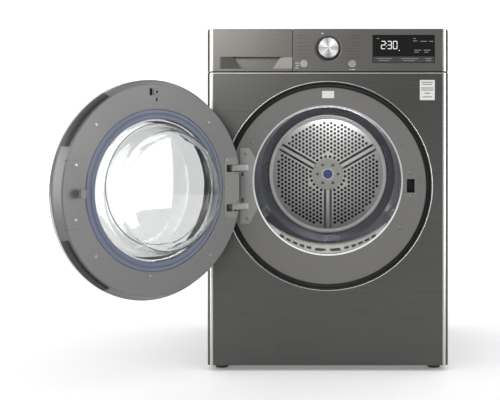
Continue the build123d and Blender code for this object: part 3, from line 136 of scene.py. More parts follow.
# Polished surfaces mirror a dimmer room than the bare white one: bright overhead, softer ahead
# and dim at the sides, which gives the metal its contrast.
direction = add(room, "ShaderNodeTexCoord").outputs["Generated"]
towards = add(room, "ShaderNodeSeparateXYZ", {"Vector": direction})
ahead = add(
    room, "ShaderNodeMapRange",
    {"Value": towards.outputs["Y"], "From Min": -0.1, "From Max": -1.0, "To Min": 0.3, "To Max": 0.62},
)
overhead = add(
    room, "ShaderNodeMapRange",
    {"Value": towards.outputs["Z"], "From Min": 0.25, "From Max": 1.0, "To Min": 0.0, "To Max": 0.45},
)
mirrored = add(room, "ShaderNodeMath", {0: ahead.outputs["Result"], 1: overhead.outputs["Result"]})
ray = add(room, "ShaderNodeLightPath")
strength = add(
    room, "ShaderNodeMix",
    {0: ray.outputs["Is Glossy Ray"], 2: 1.0, 3: mirrored.outputs[0]},
)
room.links.new(strength.outputs[0], backdrop.inputs["Strength"])
bpy.context.scene.world = world
bpy.context.scene.view_settings.view_transform = "Standard"

sweep = bmesh.new()
reach, rise, bend_at = 6.0, 5.0, 3.0
bend_steps = 8
profile = [(-reach, 0), (bend_at, 0)]
for step in range(1, bend_steps + 1):
    turn = math.radians(90 * step / bend_steps)
    profile.append((bend_at + math.sin(turn), 1 - math.cos(turn)))
profile.append((bend_at + 1, rise))
rails = [
    [sweep.verts.new((side * reach, depth, height)) for side in (-1, 1)]
    for depth, height in profile
]
for near, far in zip(rails, rails[1:]):
    sweep.faces.new((near[0], near[1], far[1], far[0]))
floor_mesh = bpy.data.meshes.new("floor")
sweep.to_mesh(floor_mesh)
sweep.free()
floor_mesh.polygons.foreach_set("use_smooth", [True] * len(floor_mesh.polygons))
floor = bpy.data.objects.new("floor", floor_mesh)
bpy.context.scene.collection.objects.link(floor)
floor_mesh.materials.append(finish(
    "matt_white_paper", "#fdfdfd", "#f9f9f9", 2, 0.9,
    Specular_IOR_Level=0.1, Emission_Color=(1, 1, 1, 1), Emission_Strength=0.16,
))

# Studio lights: a tall soft box on each side lights the rounded uprights, one hangs above, and a
# weak one stands off to the left of the front, so the front darkens gently towards the right.
for name, place, aim, size, power in (
    ("left_box", (-2.3, -1.9, 0.9), (0, -0.3, 0.5), (1.5, 2.4), 95),
    ("right_box", (2.3, -1.9, 0.9), (0, -0.3, 0.5), (1.5, 2.4), 95),
    ("top_box", (0, -0.9, 2.9), (0, -0.2, 0.4), (2.4, 1.2), 40),
    ("front_box", (-0.95, -2.9, 1.45), (0, -0.3, 0.6), (1.2, 1.0), 22),
):
    lamp = bpy.data.lights.new(name, "AREA")
    lamp.shape = "RECTANGLE"
    lamp.size, lamp.size_y = size
    lamp.energy = power
    box = bpy.data.objects.new(name, lamp)
    box.location = place
    # The boxes are there for their reflections alone: the white room gives the even light.
    box.visible_diffuse = False
    box.rotation_euler = (Vector(aim) - Vector(place)).to_track_quat("-Z", "Y").to_euler()
    bpy.context.scene.collection.objects.link(box)


# Lamp of the drum: the real one is a small bulb at the top of the mouth, behind the surround.
drum_lamp = bpy.data.lights.new("drum_lamp", "AREA")
drum_lamp.shape = "RECTANGLE"
drum_lamp.size, drum_lamp.size_y = 0.16, 0.03
drum_lamp.energy = 0.4
lamp_holder = bpy.data.objects.new("drum_lamp", drum_lamp)
lamp_holder.location = (0.03, front_face + 0.075, 0.655)
lamp_aim = Vector((0, front_face + 0.5, 0.43))
lamp_holder.rotation_euler = (lamp_aim - lamp_holder.location).to_track_quat("-Z", "Y").to_euler()
bpy.context.scene.collection.objects.link(lamp_holder)


# Cabinet skin: the front and both sides are coated steel sheet with a fine horizontal brushing,
# and the lid is the same sheet. The brushing gives long soft streaks and a satin shine.
def dress(surface, *names):
    """Gives CAD nodes a surface, and shades their curved faces smoothly up to the real edges."""
    for name in names:
        body = nodes[name]
        if not body.material_slots:
            body.data.materials.append(surface)
        for slot in body.material_slots:
            slot.material = surface
        body.modifiers.new("smooth_to_the_edges", "NODES").node_group = smoothing
        body.modifiers.new("large_faces_lead", "WEIGHTED_NORMAL").keep_sharp = True


# The tree joins the loose triangles for shading, and keeps an edge sharp past a set angle.
sharp_edge = math.radians(28)
smoothing = bpy.data.node_groups.new("smooth_to_the_edges", "GeometryNodeTree")
smoothing.interface.new_socket("Geometry", in_out="INPUT", socket_type="NodeSocketGeometry")
smoothing.interface.new_socket("Geometry", in_out="OUTPUT", socket_type="NodeSocketGeometry")
entry = add(smoothing, "NodeGroupInput")
merged = add(
    smoothing, "GeometryNodeMergeByDistance",
    {"Geometry": entry.outputs["Geometry"], "Distance": 0.00002},
)
angle = add(smoothing, "GeometryNodeInputMeshEdgeAngle")
gentle = add(
    smoothing, "FunctionNodeCompare",
    {0: angle.outputs["Unsigned Angle"], 1: sharp_edge}, data_type="FLOAT", operation="LESS_THAN",
)
faces_done = add(
    smoothing, "GeometryNodeSetShadeSmooth",
    {"Geometry": merged.outputs["Geometry"]}, domain="FACE",
)
edges_done = add(
    smoothing, "GeometryNodeSetShadeSmooth",
    {"Geometry": faces_done.outputs["Geometry"], "Shade Smooth": gentle.outputs["Result"]},
    domain="EDGE",
)
leave = add(smoothing, "NodeGroupOutput")
smoothing.links.new(edges_done.outputs["Geometry"], leave.inputs["Geometry"])

# The strokes of the brushing are about 0.2 mm apart, drawn about 2 mm apart so that they show.
# The lid's coat is rougher and less metallic than the front's.
brushed_steel = finish(
    "brushed_graphite_steel", "#565654", "#4e4e4c", 1.8, 0.3, 0.006, (0.012, 0.012, 1), Metallic=1.0,
)
lid_steel = finish(
    "brushed_graphite_lid", "#626260", "#5a5a58", 2.4, 0.48, 0.012, (0.012, 1, 1), Metallic=0.25,
)
dress(brushed_steel, "front_panel", "side_panel_left", "side_panel_right")
dress(lid_steel, "top_cover")

# Fascia and drawer front: moulded ABS with a metallic graphite lacquer. The flake is far below a
# millimetre and is drawn at 0.8 mm, a soft sparkle in an even satin coat.
lacquer = finish(
    "graphite_lacquer_on_abs", "#615f5b", "#5a5854", 0.8, 0.3, 0.004,
    Metallic=0.85, Coat_Weight=0.25, Coat_Roughness=0.2,
)

# Both rounded uprights of the front carry a painted highlight, a band about 8 mm wide from the flat
# of the front to just short of the side, lighter than the coat beside it.
band_start = cabinet_width / 2 - 0.0155
band_end = cabinet_width / 2 - 0.0082
fade = 0.0015
for coat in (brushed_steel, lacquer):
    tree = coat.node_tree
    shader = tree.nodes["Principled BSDF"]
    place = tree.nodes["Texture Coordinate"].outputs["Object"]
    across = add(tree, "ShaderNodeSeparateXYZ", {"Vector": place})
    outward = add(tree, "ShaderNodeMath", {0: across.outputs["X"]}, operation="ABSOLUTE")
    rising = add(
        tree, "ShaderNodeMapRange",
        {"Value": outward.outputs[0], "From Min": band_start, "From Max": band_start + fade},
    )
    falling = add(
        tree, "ShaderNodeMapRange",
        {"Value": outward.outputs[0], "From Min": band_end, "From Max": band_end + fade,
         "To Min": 1.0, "To Max": 0.0},
    )
    band = add(
        tree, "ShaderNodeMath",
        {0: rising.outputs["Result"], 1: falling.outputs["Result"]}, operation="MULTIPLY",
    )
    coat_colour = shader.inputs["Base Color"].links[0].from_socket
    # Painted highlight: inside the band the base colour turns light grey.
    painted_edge_highlight = add(
        tree, "ShaderNodeMix",
        {0: band.outputs[0], 6: coat_colour, 7: colour("#a6a6a4")}, data_type="RGBA",
    )
    tree.links.new(painted_edge_highlight.outputs[2], shader.inputs["Base Color"])
dress(lacquer, "control_panel", "tank_front")

# Back, tray and bulkheads: hot-dipped galvanised sheet. The zinc freezes in flat crystals of
# about 14 mm, each with its own grey and its own slight shine.
crystal_mm = 14
galvanised = finish("galvanised_sheet", "#b4b7b8", "#a4a8aa", crystal_mm, 0.42, Metallic=1.0)
crystals = galvanised.node_tree
crystal = add(
    crystals, "ShaderNodeTexVoronoi",
    {"Vector": crystals.nodes["Texture Coordinate"].outputs["Object"], "Scale": 1000 / crystal_mm},
)
spangle = add(
    crystals, "ShaderNodeMix",
    {0: crystal.outputs["Color"], 6: colour("#9a9ea0"), 7: colour("#bcc0c2")}, data_type="RGBA",
)
crystals.links.new(spangle.outputs[2], crystals.nodes["Principled BSDF"].inputs["Base Color"])
dress(galvanised, "back_panel", "base_tray", "front_bulkhead", "idler_arm")

# Air duct behind the drum: the same sheet, coloured near black as painted shade for the dark inside of the
# duct.
duct_painted_shade = finish("duct_sheet_painted_shade", "#24262b", "#1b1d21", 3, 0.6, 0.02)
dress(duct_painted_shade, "rear_bulkhead", "rear_duct")

# Drum: stainless steel sheet with a satin drawn surface, and lifters of the same steel. The disc
# at the back is pressed and punched, so it is a little brighter on its crests.
drum_steel = finish("satin_stainless_drum", "#b4b5bb", "#a5a6ad", 1.5, 0.28, 0.01, (1, 0.02, 1), Metallic=1.0)
disc_steel = finish("pressed_stainless_disc", "#c2c2c0", "#b2b2b1", 1.2, 0.3, 0.01, Metallic=1.0)
dress(drum_steel, "drum_shell", "drum_lifters")
dress(disc_steel, "drum_back")

# Hub of the drum: a cream polypropylene plate with a blue ABS cap in its middle, both moulded and
# slightly grained, so they shine softly.
hub_plastic = finish("cream_moulded_pp", "#d8d7cc", "#cfcec3", 3, 0.42, 0.02)
cap_plastic = finish("blue_moulded_abs", "#5468b4", "#495ca4", 2, 0.3, 0.01)
dress(hub_plastic, "hub_plate")
dress(cap_plastic, "hub_cap")

# Shaft, motor and bush: turned steel keeps the fine rings of the lathe, and the bush is pressed
# from bronze powder, brown and faintly rough.
motor_steel = finish("turned_steel", "#8f9294", "#7f8284", 0.9, 0.3, 0.01, (1, 0.05, 1), Metallic=1.0)
bronze = finish("sintered_bronze", "#a07c48", "#8c6a3a", 0.7, 0.4, 0.02, Metallic=1.0)
dress(motor_steel, "drum_shaft", "motor_rotor", "motor")
dress(bronze, "drum_bearing")

# Surround of the loading opening: a glass-filled grey moulding with a fine spark-eroded grain.
# The latch plate is the same moulding, and inside its slot the colour turns near black: painted shade.
surround_grey = finish("eroded_grey_abs", "#676663", "#5f5e5b", 1.1, 0.5, 0.03)
dress(surround_grey, "door_surround", "filter_housing")
latch_grey = finish("latch_plate_abs", "#6b6a67", "#636260", 1.1, 0.45, 0.02)
latch_tree = latch_grey.node_tree
latch_shader = latch_tree.nodes["Principled BSDF"]
parted = add(
    latch_tree, "ShaderNodeSeparateXYZ",
    {"Vector": latch_tree.nodes["Texture Coordinate"].outputs["Object"]},
)
# Painted shade: from about 8.5 to 11 mm behind the front the colour fades to near black.
depth_of_slot = add(
    latch_tree, "ShaderNodeMapRange",
    {"Value": parted.outputs["Y"], "From Min": front_face + 0.0085, "From Max": front_face + 0.011},
)
latch_shade = latch_shader.inputs["Base Color"].links[0].from_socket
painted_slot_shade = add(
    latch_tree, "ShaderNodeMix",
    {0: depth_of_slot.outputs["Result"], 6: latch_shade, 7: colour("#0c0c0c")}, data_type="RGBA",
)
latch_tree.links.new(painted_slot_shade.outputs[2], latch_shader.inputs["Base Color"])
dress(latch_grey, "latch_housing")

# Trims: the ring at the opening and the band between the door's cover and frame are aluminium,
# anodised bright after a fine polish.
bright_trim = finish("bright_anodised_ring", "#f0f0ee", "#e2e2e0", 2, 0.12, Metallic=1.0)
silver_trim = finish("satin_anodised_band", "#c8c8c6", "#bcbcba", 1.2, 0.25, Metallic=1.0)
dress(bright_trim, "opening_trim")
dress(silver_trim, "door_trim")

# Door frame and cover: grey ABS mouldings, the frame satin and the cover lacquered like the
# fascia, so the cover shines and the frame stays dull.
frame_grey = finish("satin_grey_abs", "#636362", "#5c5c5b", 1.0, 0.42, 0.02)
cover_lacquer = finish(
    "graphite_lacquer_on_door", "#7d7d7b", "#737371", 0.8, 0.32, 0.004, Metallic=0.7, Coat_Weight=0.2,
)
dress(frame_grey, "door_frame", "door_latch")
dress(cover_lacquer, "door_cover")

# Door glass: a pressed bowl of clear borosilicate behind a thin outer pane with a slight tint.
# A faint waviness from the press bends what is seen through it.
bowl_glass = finish(
    "pressed_borosilicate_bowl", "#f8f9f9", "#f3f5f5", 60, 0.03, Transmission_Weight=1.0, IOR=1.47,
    Specular_IOR_Level=0.25,
)
pane_glass = finish(
    "tinted_outer_pane", "#d6d7d7", "#d2d3d3", 60, 0.03, Transmission_Weight=1.0, IOR=1.5,
    Specular_IOR_Level=0.2,
)
dress(bowl_glass, "door_bowl")
dress(pane_glass, "door_window")

# Seal of the door: a grey EPDM lip with a faintly blue bloom, ringed by moulding ribs.
seal_rubber = finish("grey_blue_epdm", "#5f6880", "#545d74", 1.4, 0.55, 0.04, Sheen_Weight=0.2)
dress(seal_rubber, "door_seal")

# Hinge: zinc die castings, bead blasted, with a dull bright skin.
cast_zinc = finish("blasted_cast_zinc", "#868685", "#7b7b7a", 0.9, 0.45, 0.03, Metallic=0.5)
leaf_grey = finish("coated_hinge_leaf", "#6b6b69", "#646462", 1.0, 0.4, 0.02, Metallic=0.3)
dress(cast_zinc, "cabinet_hinge")
dress(leaf_grey, "door_hinge_leaf")

# Lint filter: a cream polypropylene cassette over a woven nylon mesh of 0.5 mm, drawn at 1.5 mm.
cream_pp = finish("cream_white_pp", "#b6b6b0", "#adada6", 2, 0.4, 0.02)
nylon_mesh = finish("woven_nylon_mesh", "#3c3c3a", "#5c5c59", 1.5, 0.6, 0.1)
dress(cream_pp, "lint_filter")
dress(nylon_mesh, "lint_mesh")

# Dial: turned aluminium. Its colour is painted in bright and dark sectors round the dial's own
# axis: painted highlights and shade for the light that the lathe's rings throw.
dial_low, dial_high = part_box("program_dial")
dial_x = (dial_low.x + dial_high.x) / 2
dial_z = (dial_low.z + dial_high.z) / 2
dial_radius = (dial_high.x - dial_low.x) / 2
spun = finish("spun_aluminium", "#c8c8c8", "#bcbcbc", 0.6, 0.22, 0.004, Metallic=1.0, Anisotropic=0.6)
spun_tree = spun.node_tree
centred = add(
    spun_tree, "ShaderNodeMapping",
    {"Vector": spun_tree.nodes["Texture Coordinate"].outputs["Object"],
     "Location": (-dial_x, dial_z, 0), "Rotation": (math.radians(90), 0, 0)},
)
sectors = add(
    spun_tree, "ShaderNodeTexGradient", {"Vector": centred.outputs["Vector"]}, gradient_type="RADIAL",
)
painted_sector_light = add(spun_tree, "ShaderNodeValToRGB", {"Fac": sectors.outputs["Fac"]})
# The painted highlights and shade: light and dark stops round the dial.
for stop, (at, code) in enumerate((
    (0.0, "#9a9a9a"), (0.1, "#e4e4e4"), (0.22, "#8e8e8e"), (0.36, "#f2f2f2"), (0.5, "#9c9c9c"),
    (0.62, "#dedede"), (0.75, "#7e7e7e"), (0.88, "#d0d0d0"), (1.0, "#9a9a9a"),
)):
    ramp = painted_sector_light.color_ramp.elements
    mark = ramp[stop] if stop < 2 else ramp.new(at)
    mark.position = at
    mark.color = colour(code)
spun_tree.links.new(painted_sector_light.outputs["Color"], spun_tree.nodes["Principled BSDF"].inputs["Base Color"])
dress(spun, "program_dial")

# Bezel of the dial: an aluminium ring, anodised dark so that the dial stands out in it.
ring_black = finish("dark_anodised_ring", "#6c6b68", "#5c5b58", 1.0, 0.35, Metallic=0.8)
dress(ring_black, "dial_ring")


def turned(name, profile, surface, body, centre, steps=160, turn=None):
    """Turns a closed profile of (radius, depth) in metres about an axis through centre, along Y."""
    shape = bmesh.new()
    rings = []
    for radius, depth in profile:
        rings.append([
            shape.verts.new((
                centre[0] + radius * math.cos(2 * math.pi * i / steps), depth,
                centre[1] + radius * math.sin(2 * math.pi * i / steps),
            ))
            for i in range(steps)
        ])
    for inner, outer in zip(rings, rings[1:] + rings[:1]):
        for i in range(steps):
            j = (i + 1) % steps
            face = shape.faces.new((inner[i], inner[j], outer[j], outer[i]))
            face.smooth = True
    bmesh.ops.recalc_face_normals(shape, faces=shape.faces)
    if turn:
        shape.transform(turn)
    mesh = bpy.data.meshes.new(name)
    shape.to_mesh(mesh)
    shape.free()
    mesh.materials.append(surface)
    made = bpy.data.objects.new(name, mesh)
    bpy.context.scene.collection.objects.link(made)
    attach(made, body)
    return made


def bead(radius, depth, across, deep=None):
    """Gives a rounded closed section, across wide and deep high, at a radius and a depth."""
    deep = deep or across
    corners = 10
    turns = [2 * math.pi * i / corners for i in range(corners)]
    return [(radius + across / 2 * math.cos(t), depth + deep / 2 * math.sin(t)) for t in turns]


# Skirt of the dial: a near-black ring round the side of the aluminium, painted shade for the dial's side.
dial_side_shade = finish("dial_skirt_painted_shade", "#161616", "#0f0f0f", 0.8, 0.5, 0.03)
skirt = [
    (dial_radius, dial_low.y + 0.0016), (dial_radius + 0.0011, dial_low.y + 0.0028),
    (dial_radius + 0.0013, front_face - 0.0016), (dial_radius, front_face - 0.0016),
]
turned("dial_skirt", skirt, dial_side_shade, "dial", (dial_x, dial_z), steps=96)

# Recess of the door: a near-black ring on the floor of the groove round the surround is painted
# shade for the deep groove, and a bright ring at the panel's rolled lip is a painted highlight.
recess_painted_shade = finish("groove_painted_shade", "#222221", "#1a1a19", 1.2, 0.7, 0.03)
recess_centre = (0, 0.4595)
groove_inner, groove_outer = 0.2464, 0.2574
shade_ring_back, shade_ring_front = front_face + 0.0198, front_face + 0.0188
turned(
    "groove_shade_ring",
    [(groove_inner, shade_ring_back), (groove_outer, shade_ring_back),
     (groove_outer, shade_ring_front), (groove_inner, shade_ring_front)],
    recess_painted_shade, "root", recess_centre,
)
lip_highlight = finish("panel_lip_painted_highlight", "#b2b2b0", "#a4a4a2", 1.0, 0.25, Metallic=1.0)
lip_radius = 0.2597
turned(
    "panel_lip_line", bead(lip_radius, front_face + 0.0002, 0.0020, 0.0008),
    lip_highlight, "root", recess_centre,
)

# Rear ring of the drum: a cream band clamps the pressed disc to the drum's shell.
band_cream = finish("cream_painted_band", "#f2f1e8", "#ebeae0", 2, 0.4, 0.02)
drum_axis = (0, 0.47)
disc_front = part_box("drum_back")[0].y
band_radius = 0.1715
turned(
    "drum_rear_band", bead(band_radius, disc_front - 0.0002, 0.011, 0.003),
    band_cream, "drum", drum_axis,
)

# Buttons: lacquered ABS caps like the fascia, a little brighter, that slide in two holes.
button_cap = finish("button_lacquer", "#9b9b98", "#92928f", 0.8, 0.28, Metallic=0.8)
dress(button_cap, "power_button", "start_button")

# Display: a flush pane of smoked acrylic, gloss black, over the board that lights it.
smoked = finish("smoked_acrylic", "#0c0c0c", "#101010", 40, 0.12, Specular_IOR_Level=0.25)
board_green = finish("solder_mask", "#1f5a3c", "#184a31", 5, 0.35)
dress(smoked, "display_window")
dress(board_green, "control_board")

# Felt ring: pressed wool that the drum's front edge runs on, dull and hairy.
felt = finish("pressed_wool_felt", "#6b6a66", "#56554f", 0.9, 0.9, 0.4, Sheen_Weight=0.6)
dress(felt, "front_felt")

# Rollers, pulley, fan, pump and gland: black nylon mouldings with a satin skin.
black_nylon = finish("black_moulded_pa", "#222222", "#1a1a1a", 1.2, 0.45, 0.03)
dress(black_nylon, "cord_gland", "drain_pump", "idler_pulley", "roller_left", "roller_right", "fan_wheel")

# Front feet, belt and hose: black rubber, duller than the nylon. The feet screw into the tray.
rubber = finish("black_rubber", "#242424", "#1b1b1b", 1.5, 0.65, 0.05)
dress(rubber, "foot_left", "foot_right", "drive_belt", "pump_hose")

# Water tank and its sleeve: milky polypropylene, blown and moulded, with a soft waxy shine.
tank_pp = finish("translucent_tank_pp", "#c9cccd", "#bfc3c4", 4, 0.35, 0.02)
dress(tank_pp, "tank_housing", "water_tank")

# Compressor: a drawn steel can under thick black enamel.
black_paint = finish("black_enamelled_steel", "#26282a", "#1f2123", 2, 0.3, 0.03)
dress(black_paint, "compressor")

# Coil blocks: rolled aluminium fins pressed on to the tubes, bright and lightly streaked.
fin_aluminium = finish("rolled_fin_aluminium", "#c6c9cb", "#b6babc", 1.5, 0.3, 0.02, Metallic=1.0)
dress(fin_aluminium, "heat_exchangers")


# Screws: zinc-plated pan heads with a cross recess, pressed out of wire. They hold the surround,
# the door's frame and hinge leaf, and the drum's hub, and they stand where the plain heads stood.
screw_tree = bpy.data.node_groups.new("cross_head_screws", "GeometryNodeTree")
screw_sockets = {}
screw_tree.interface.new_socket("Geometry", in_out="INPUT", socket_type="NodeSocketGeometry")
for name in ("Head Radius", "Head Height", "Recess Width"):
    made = screw_tree.interface.new_socket(name, in_out="INPUT", socket_type="NodeSocketFloat")
    screw_sockets[name] = made.identifier
made = screw_tree.interface.new_socket("Material", in_out="INPUT", socket_type="NodeSocketMaterial")
screw_sockets["Material"] = made.identifier
screw_tree.interface.new_socket("Geometry", in_out="OUTPUT", socket_type="NodeSocketGeometry")
entry = add(screw_tree, "NodeGroupInput")
crown_share = 0.72
top_radius = add(
    screw_tree, "ShaderNodeMath",
    {0: entry.outputs["Head Radius"], 1: crown_share}, operation="MULTIPLY",
)
head = add(
    screw_tree, "GeometryNodeMeshCone",
    {"Vertices": 24, "Radius Top": top_radius.outputs[0], "Radius Bottom": entry.outputs["Head Radius"],
     "Depth": entry.outputs["Head Height"]},
)
cross_share = 1.05
arm_length = add(
    screw_tree, "ShaderNodeMath",
    {0: entry.outputs["Head Radius"], 1: cross_share}, operation="MULTIPLY",
)
arms = []
for long_side, short_side in (("X", "Y"), ("Y", "X")):
    size = add(
        screw_tree, "ShaderNodeCombineXYZ",
        {long_side: arm_length.outputs[0], short_side: entry.outputs["Recess Width"],
         "Z": entry.outputs["Head Height"]},
    )
    arms.append(add(screw_tree, "GeometryNodeMeshCube", {"Size": size.outputs[0]}))
lifted = add(screw_tree, "ShaderNodeCombineXYZ", {"Z": entry.outputs["Head Height"]})
cross_cut = add(screw_tree, "GeometryNodeMeshBoolean", operation="DIFFERENCE")
screw_tree.links.new(head.outputs["Mesh"], cross_cut.inputs[0])
for arm in arms:
    raised = add(
        screw_tree, "GeometryNodeTransform",
        {"Geometry": arm.outputs["Mesh"], "Translation": lifted.outputs[0]},
    )
    screw_tree.links.new(raised.outputs["Geometry"], cross_cut.inputs[1])
planted = add(
    screw_tree, "GeometryNodeInstanceOnPoints",
    {"Points": entry.outputs["Geometry"], "Instance": cross_cut.outputs["Mesh"],
     "Rotation": (math.radians(90), 0, 0)},
)
real = add(screw_tree, "GeometryNodeRealizeInstances", {"Geometry": planted.outputs["Instances"]})
coated = add(
    screw_tree, "GeometryNodeSetMaterial",
    {"Geometry": real.outputs["Geometry"], "Material": entry.outputs["Material"]},
)
leave = add(screw_tree, "NodeGroupOutput")
screw_tree.links.new(coated.outputs["Geometry"], leave.inputs["Geometry"])


def grown(name, tree, sockets, values, points):
    """Runs a node tree on a few points and returns the result as a plain mesh object."""
    seed_mesh = bpy.data.meshes.new(name)
    seed_mesh.from_pydata(points, [], [])
    made = bpy.data.objects.new(name, seed_mesh)
    bpy.context.scene.collection.objects.link(made)
    modifier = made.modifiers.new("grow", "NODES")
    modifier.node_group = tree
    for key, value in values.items():
        modifier[sockets[key]] = value
    bpy.context.view_layer.update()
    seen = made.evaluated_get(bpy.context.evaluated_depsgraph_get())
    result = bpy.data.meshes.new_from_object(seen)
    made.modifiers.remove(modifier)
    made.data = result
    return made


def islands(node):
    """Gives the box of each separate solid in a node as (lowest, highest) corners."""
    shape = bmesh.new()
    shape.from_mesh(nodes[node].data)
    bmesh.ops.remove_doubles(shape, verts=shape.verts, dist=0.00001)
    left = set(shape.verts)
    found = []
    while left:
        stack = [left.pop()]
        group = list(stack)
        while stack:
            for edge in stack.pop().link_edges:
                for vert in edge.verts:
                    if vert in left:
                        left.remove(vert)
                        stack.append(vert)
                        group.append(vert)
        spans = [(min(v.co[i] for v in group), max(v.co[i] for v in group)) for i in range(3)]
        found.append((Vector([low for low, high in spans]), Vector([high for low, high in spans])))
    shape.free()
    return sorted(found, key=lambda pair: (round(pair[0].x, 5), round(pair[0].z, 5)))


hinge_pin = Vector((-0.235, front_face - 0.022, 0))
door_open = math.radians(136.6)
swing = (
    Matrix.Translation(hinge_pin) @ Matrix.Rotation(-door_open, 4, "Z")
    @ Matrix.Translation(-hinge_pin)
)
zinc = finish("zinc_plated_screw", "#858583", "#6c6c6a", 0.8, 0.36, Metallic=1.0)
screw_height = 0.0011
for node, body, recess_width in (
    ("surround_screws", "root", 0.0016), ("door_screws", "door", 0.0016), ("hub_screws", "drum", 0.0014),
):
    plain_heads = islands(node)
    radius = (plain_heads[0][1].z - plain_heads[0][0].z) / 2
    points = []
    if body == "door":
        # The heads on the door face the drum, so they are laid out on the shut door turned over.
        shut_vertices = [swing.inverted() @ v.co for v in nodes[node].data.vertices]
        for low, high in plain_heads:
            middle = swing.inverted() @ ((low + high) / 2)
            depths = [
                v.y for v in shut_vertices
                if abs(v.x - middle.x) < radius * 1.5 and abs(v.z - middle.z) < radius * 1.5
            ]
            points.append((middle.x, screw_height - max(depths), middle.z))
    else:
        for low, high in plain_heads:
            middle = (low + high) / 2
            points.append((middle.x, low.y + screw_height, middle.z))
    screws = grown(
        node + "_cross_heads", screw_tree, screw_sockets,
        {"Head Radius": radius, "Head Height": screw_height, "Recess Width": recess_width,
         "Material": zinc},
        points,
    )
    if body == "door":
        # They are turned back, with their faces outwards again, before the door is swung open.
        screws.data.transform(Matrix.Scale(-1, 4, (0, 1, 0)))
        screws.data.flip_normals()
        screws.data.transform(swing)
    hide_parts(node)
    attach(screws, body)


# Printing on the fascia: thin strokes of pad-printed ink, a generic stand-in for the names of the
# programmes, with a fine leader from each to the dial.
def plates(name, body, surface, boxes, back, thickness, turn=None):
    """Makes thin plates from (left, bottom, right, top) in metres, standing forward of back."""
    shape = bmesh.new()
    for left, bottom, right, top in boxes:
        corners = [(left, bottom), (right, bottom), (right, top), (left, top)]
        rear = [shape.verts.new((x, back, z)) for x, z in corners]
        fore = [shape.verts.new((x, back - thickness, z)) for x, z in corners]
        shape.faces.new(fore)
        shape.faces.new(rear[::-1])
        for i in range(4):
            j = (i + 1) % 4
            shape.faces.new((fore[j], fore[i], rear[i], rear[j]))
    bmesh.ops.recalc_face_normals(shape, faces=shape.faces)
    if turn:
        shape.transform(turn)
    mesh = bpy.data.meshes.new(name)
    shape.to_mesh(mesh)
    shape.free()
    mesh.materials.append(surface)
    made = bpy.data.objects.new(name, mesh)
    bpy.context.scene.collection.objects.link(made)
    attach(made, body)
    return made


def strokes(rows, height):
    """Turns (left, right, middle) in millimetres into the boxes of printed strokes."""
    return [(a / 1000, (z - height / 2) / 1000, b / 1000, (z + height / 2) / 1000) for a, b, z in rows]


# Both inks dry flat and even: the dark one reads as a soft grey on the lacquer, the white one
# as a clear mark.
ink = finish("pad_printed_ink", "#3b3b35", "#34342f", 1.5, 0.5)
white_ink = finish("white_pad_ink", "#efefef", "#e6e6e6", 1.5, 0.4)
left_rows = (
    (-74.6, -62, 833.5), (-74.6, -62, 826), (-74.6, -53.5, 816), (-74.6, -47, 806),
    (-74.6, -47, 796.7), (-74.6, -54, 788), (-73, -43.5, 778.6),
)
right_rows = (
    (58, 79.3, 833.5), (68, 79.3, 826), (60, 79.3, 816), (60, 79.3, 808.6),
    (42, 79.3, 801), (42, 79.3, 794), (53, 79.3, 787), (50, 79.3, 778.6),
)
ink_film = 0.00008
programmes = strokes(left_rows + right_rows, 2.0)
plates("programme_strokes", "root", ink, programmes, front_face, ink_film)
dial_clear, gap = 34, 1.5
leaders = [(b + gap, -dial_clear, z) for a, b, z in left_rows]
leaders += [(dial_clear + gap, a - gap, z) for a, b, z in right_rows]
leaders = [row for row in leaders if row[1] > row[0]]
plates("leader_lines", "root", ink, strokes(leaders, 0.5), front_face, 0.00006)
plates(
    "button_marks", "root", white_ink,
    strokes(((-81, -71, 765), (-79, -71, 759), (-81, -73, 753), (53, 58, 749), (60, 68, 749)), 1.2),
    front_face, ink_film,
)

# Hem of the front panel: a painted highlight, one bright line along its rolled top edge under the
# fascia, for the light that the edge catches.
hem_highlight = finish("hem_painted_highlight", "#c8c8c6", "#bcbcba", 1.0, 0.3, Metallic=0.6)
hem_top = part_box("front_panel")[1].z
hem_half = cabinet_width / 2 - 0.011
plates(
    "panel_hem_line", "root", hem_highlight,
    [(-hem_half, hem_top - 0.0028, hem_half, hem_top - 0.0012)],
    front_face + 0.0008, 0.001,
)

# Pointer: a small white bar that is printed above the dial.
pointer = strokes(((-15.2, -11.2, 838.5),), 2.6)
plates("dial_pointer", "root", white_ink, pointer, front_face, 0.0001)


# Figures in the display: lit seven-segment digits and dim icons, laid on the smoked pane as thin
# plates so that they show clearly.
def digit(left, bottom, lit_segments, width=9.5, height=18.5, stroke=1.6):
    """Gives the lit segments of one seven-segment figure as boxes, in millimetres."""
    middle = bottom + height / 2
    bars = {
        "a": (left, left + width, bottom + height), "g": (left, left + width, middle),
        "d": (left, left + width, bottom),
    }
    posts = {
        "f": (left, middle), "b": (left + width, middle),
        "e": (left, bottom), "c": (left + width, bottom),
    }
    boxes = []
    for segment in lit_segments:
        if segment in bars:
            a, b, z = bars[segment]
            boxes.append((a + 0.4, z - stroke / 2, b - 0.4, z + stroke / 2))
        else:
            x, z = posts[segment]
            boxes.append((x - stroke / 2, z + 0.6, x + stroke / 2, z + height / 2 - 0.6))
    return [tuple(value / 1000 for value in box) for box in boxes]


lit = finish(
    "lit_segment", "#e8e8e8", "#dedede", 3, 0.4,
    Emission_Strength=0.35, Emission_Color=(1, 1, 1, 1),
)
dim = finish("unlit_icon", "#8c8c8c", "#808080", 2, 0.5)
pane_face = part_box("display_window")[0].y
digits = digit(133, 800.5, "abged") + digit(148.5, 800.5, "abgcd") + digit(162.5, 800.5, "abcdef")
digits += strokes(((144.6, 146.2, 806), (144.6, 146.2, 814)), 1.8)
digits += strokes(((176.5, 178.5, 796),), 2.0)
plates("lit_figures", "root", lit, digits, pane_face, ink_film)
icons = [(122, 128, 826), (212, 219, 826), (212, 222, 820), (230, 246, 819), (252, 262, 819)]
icons += [(215, 232, 797), (238, 256, 797), (215, 226, 792), (240, 250, 792)]
plates("dim_icons", "root", dim, strokes(icons, 1.5), pane_face, ink_film)

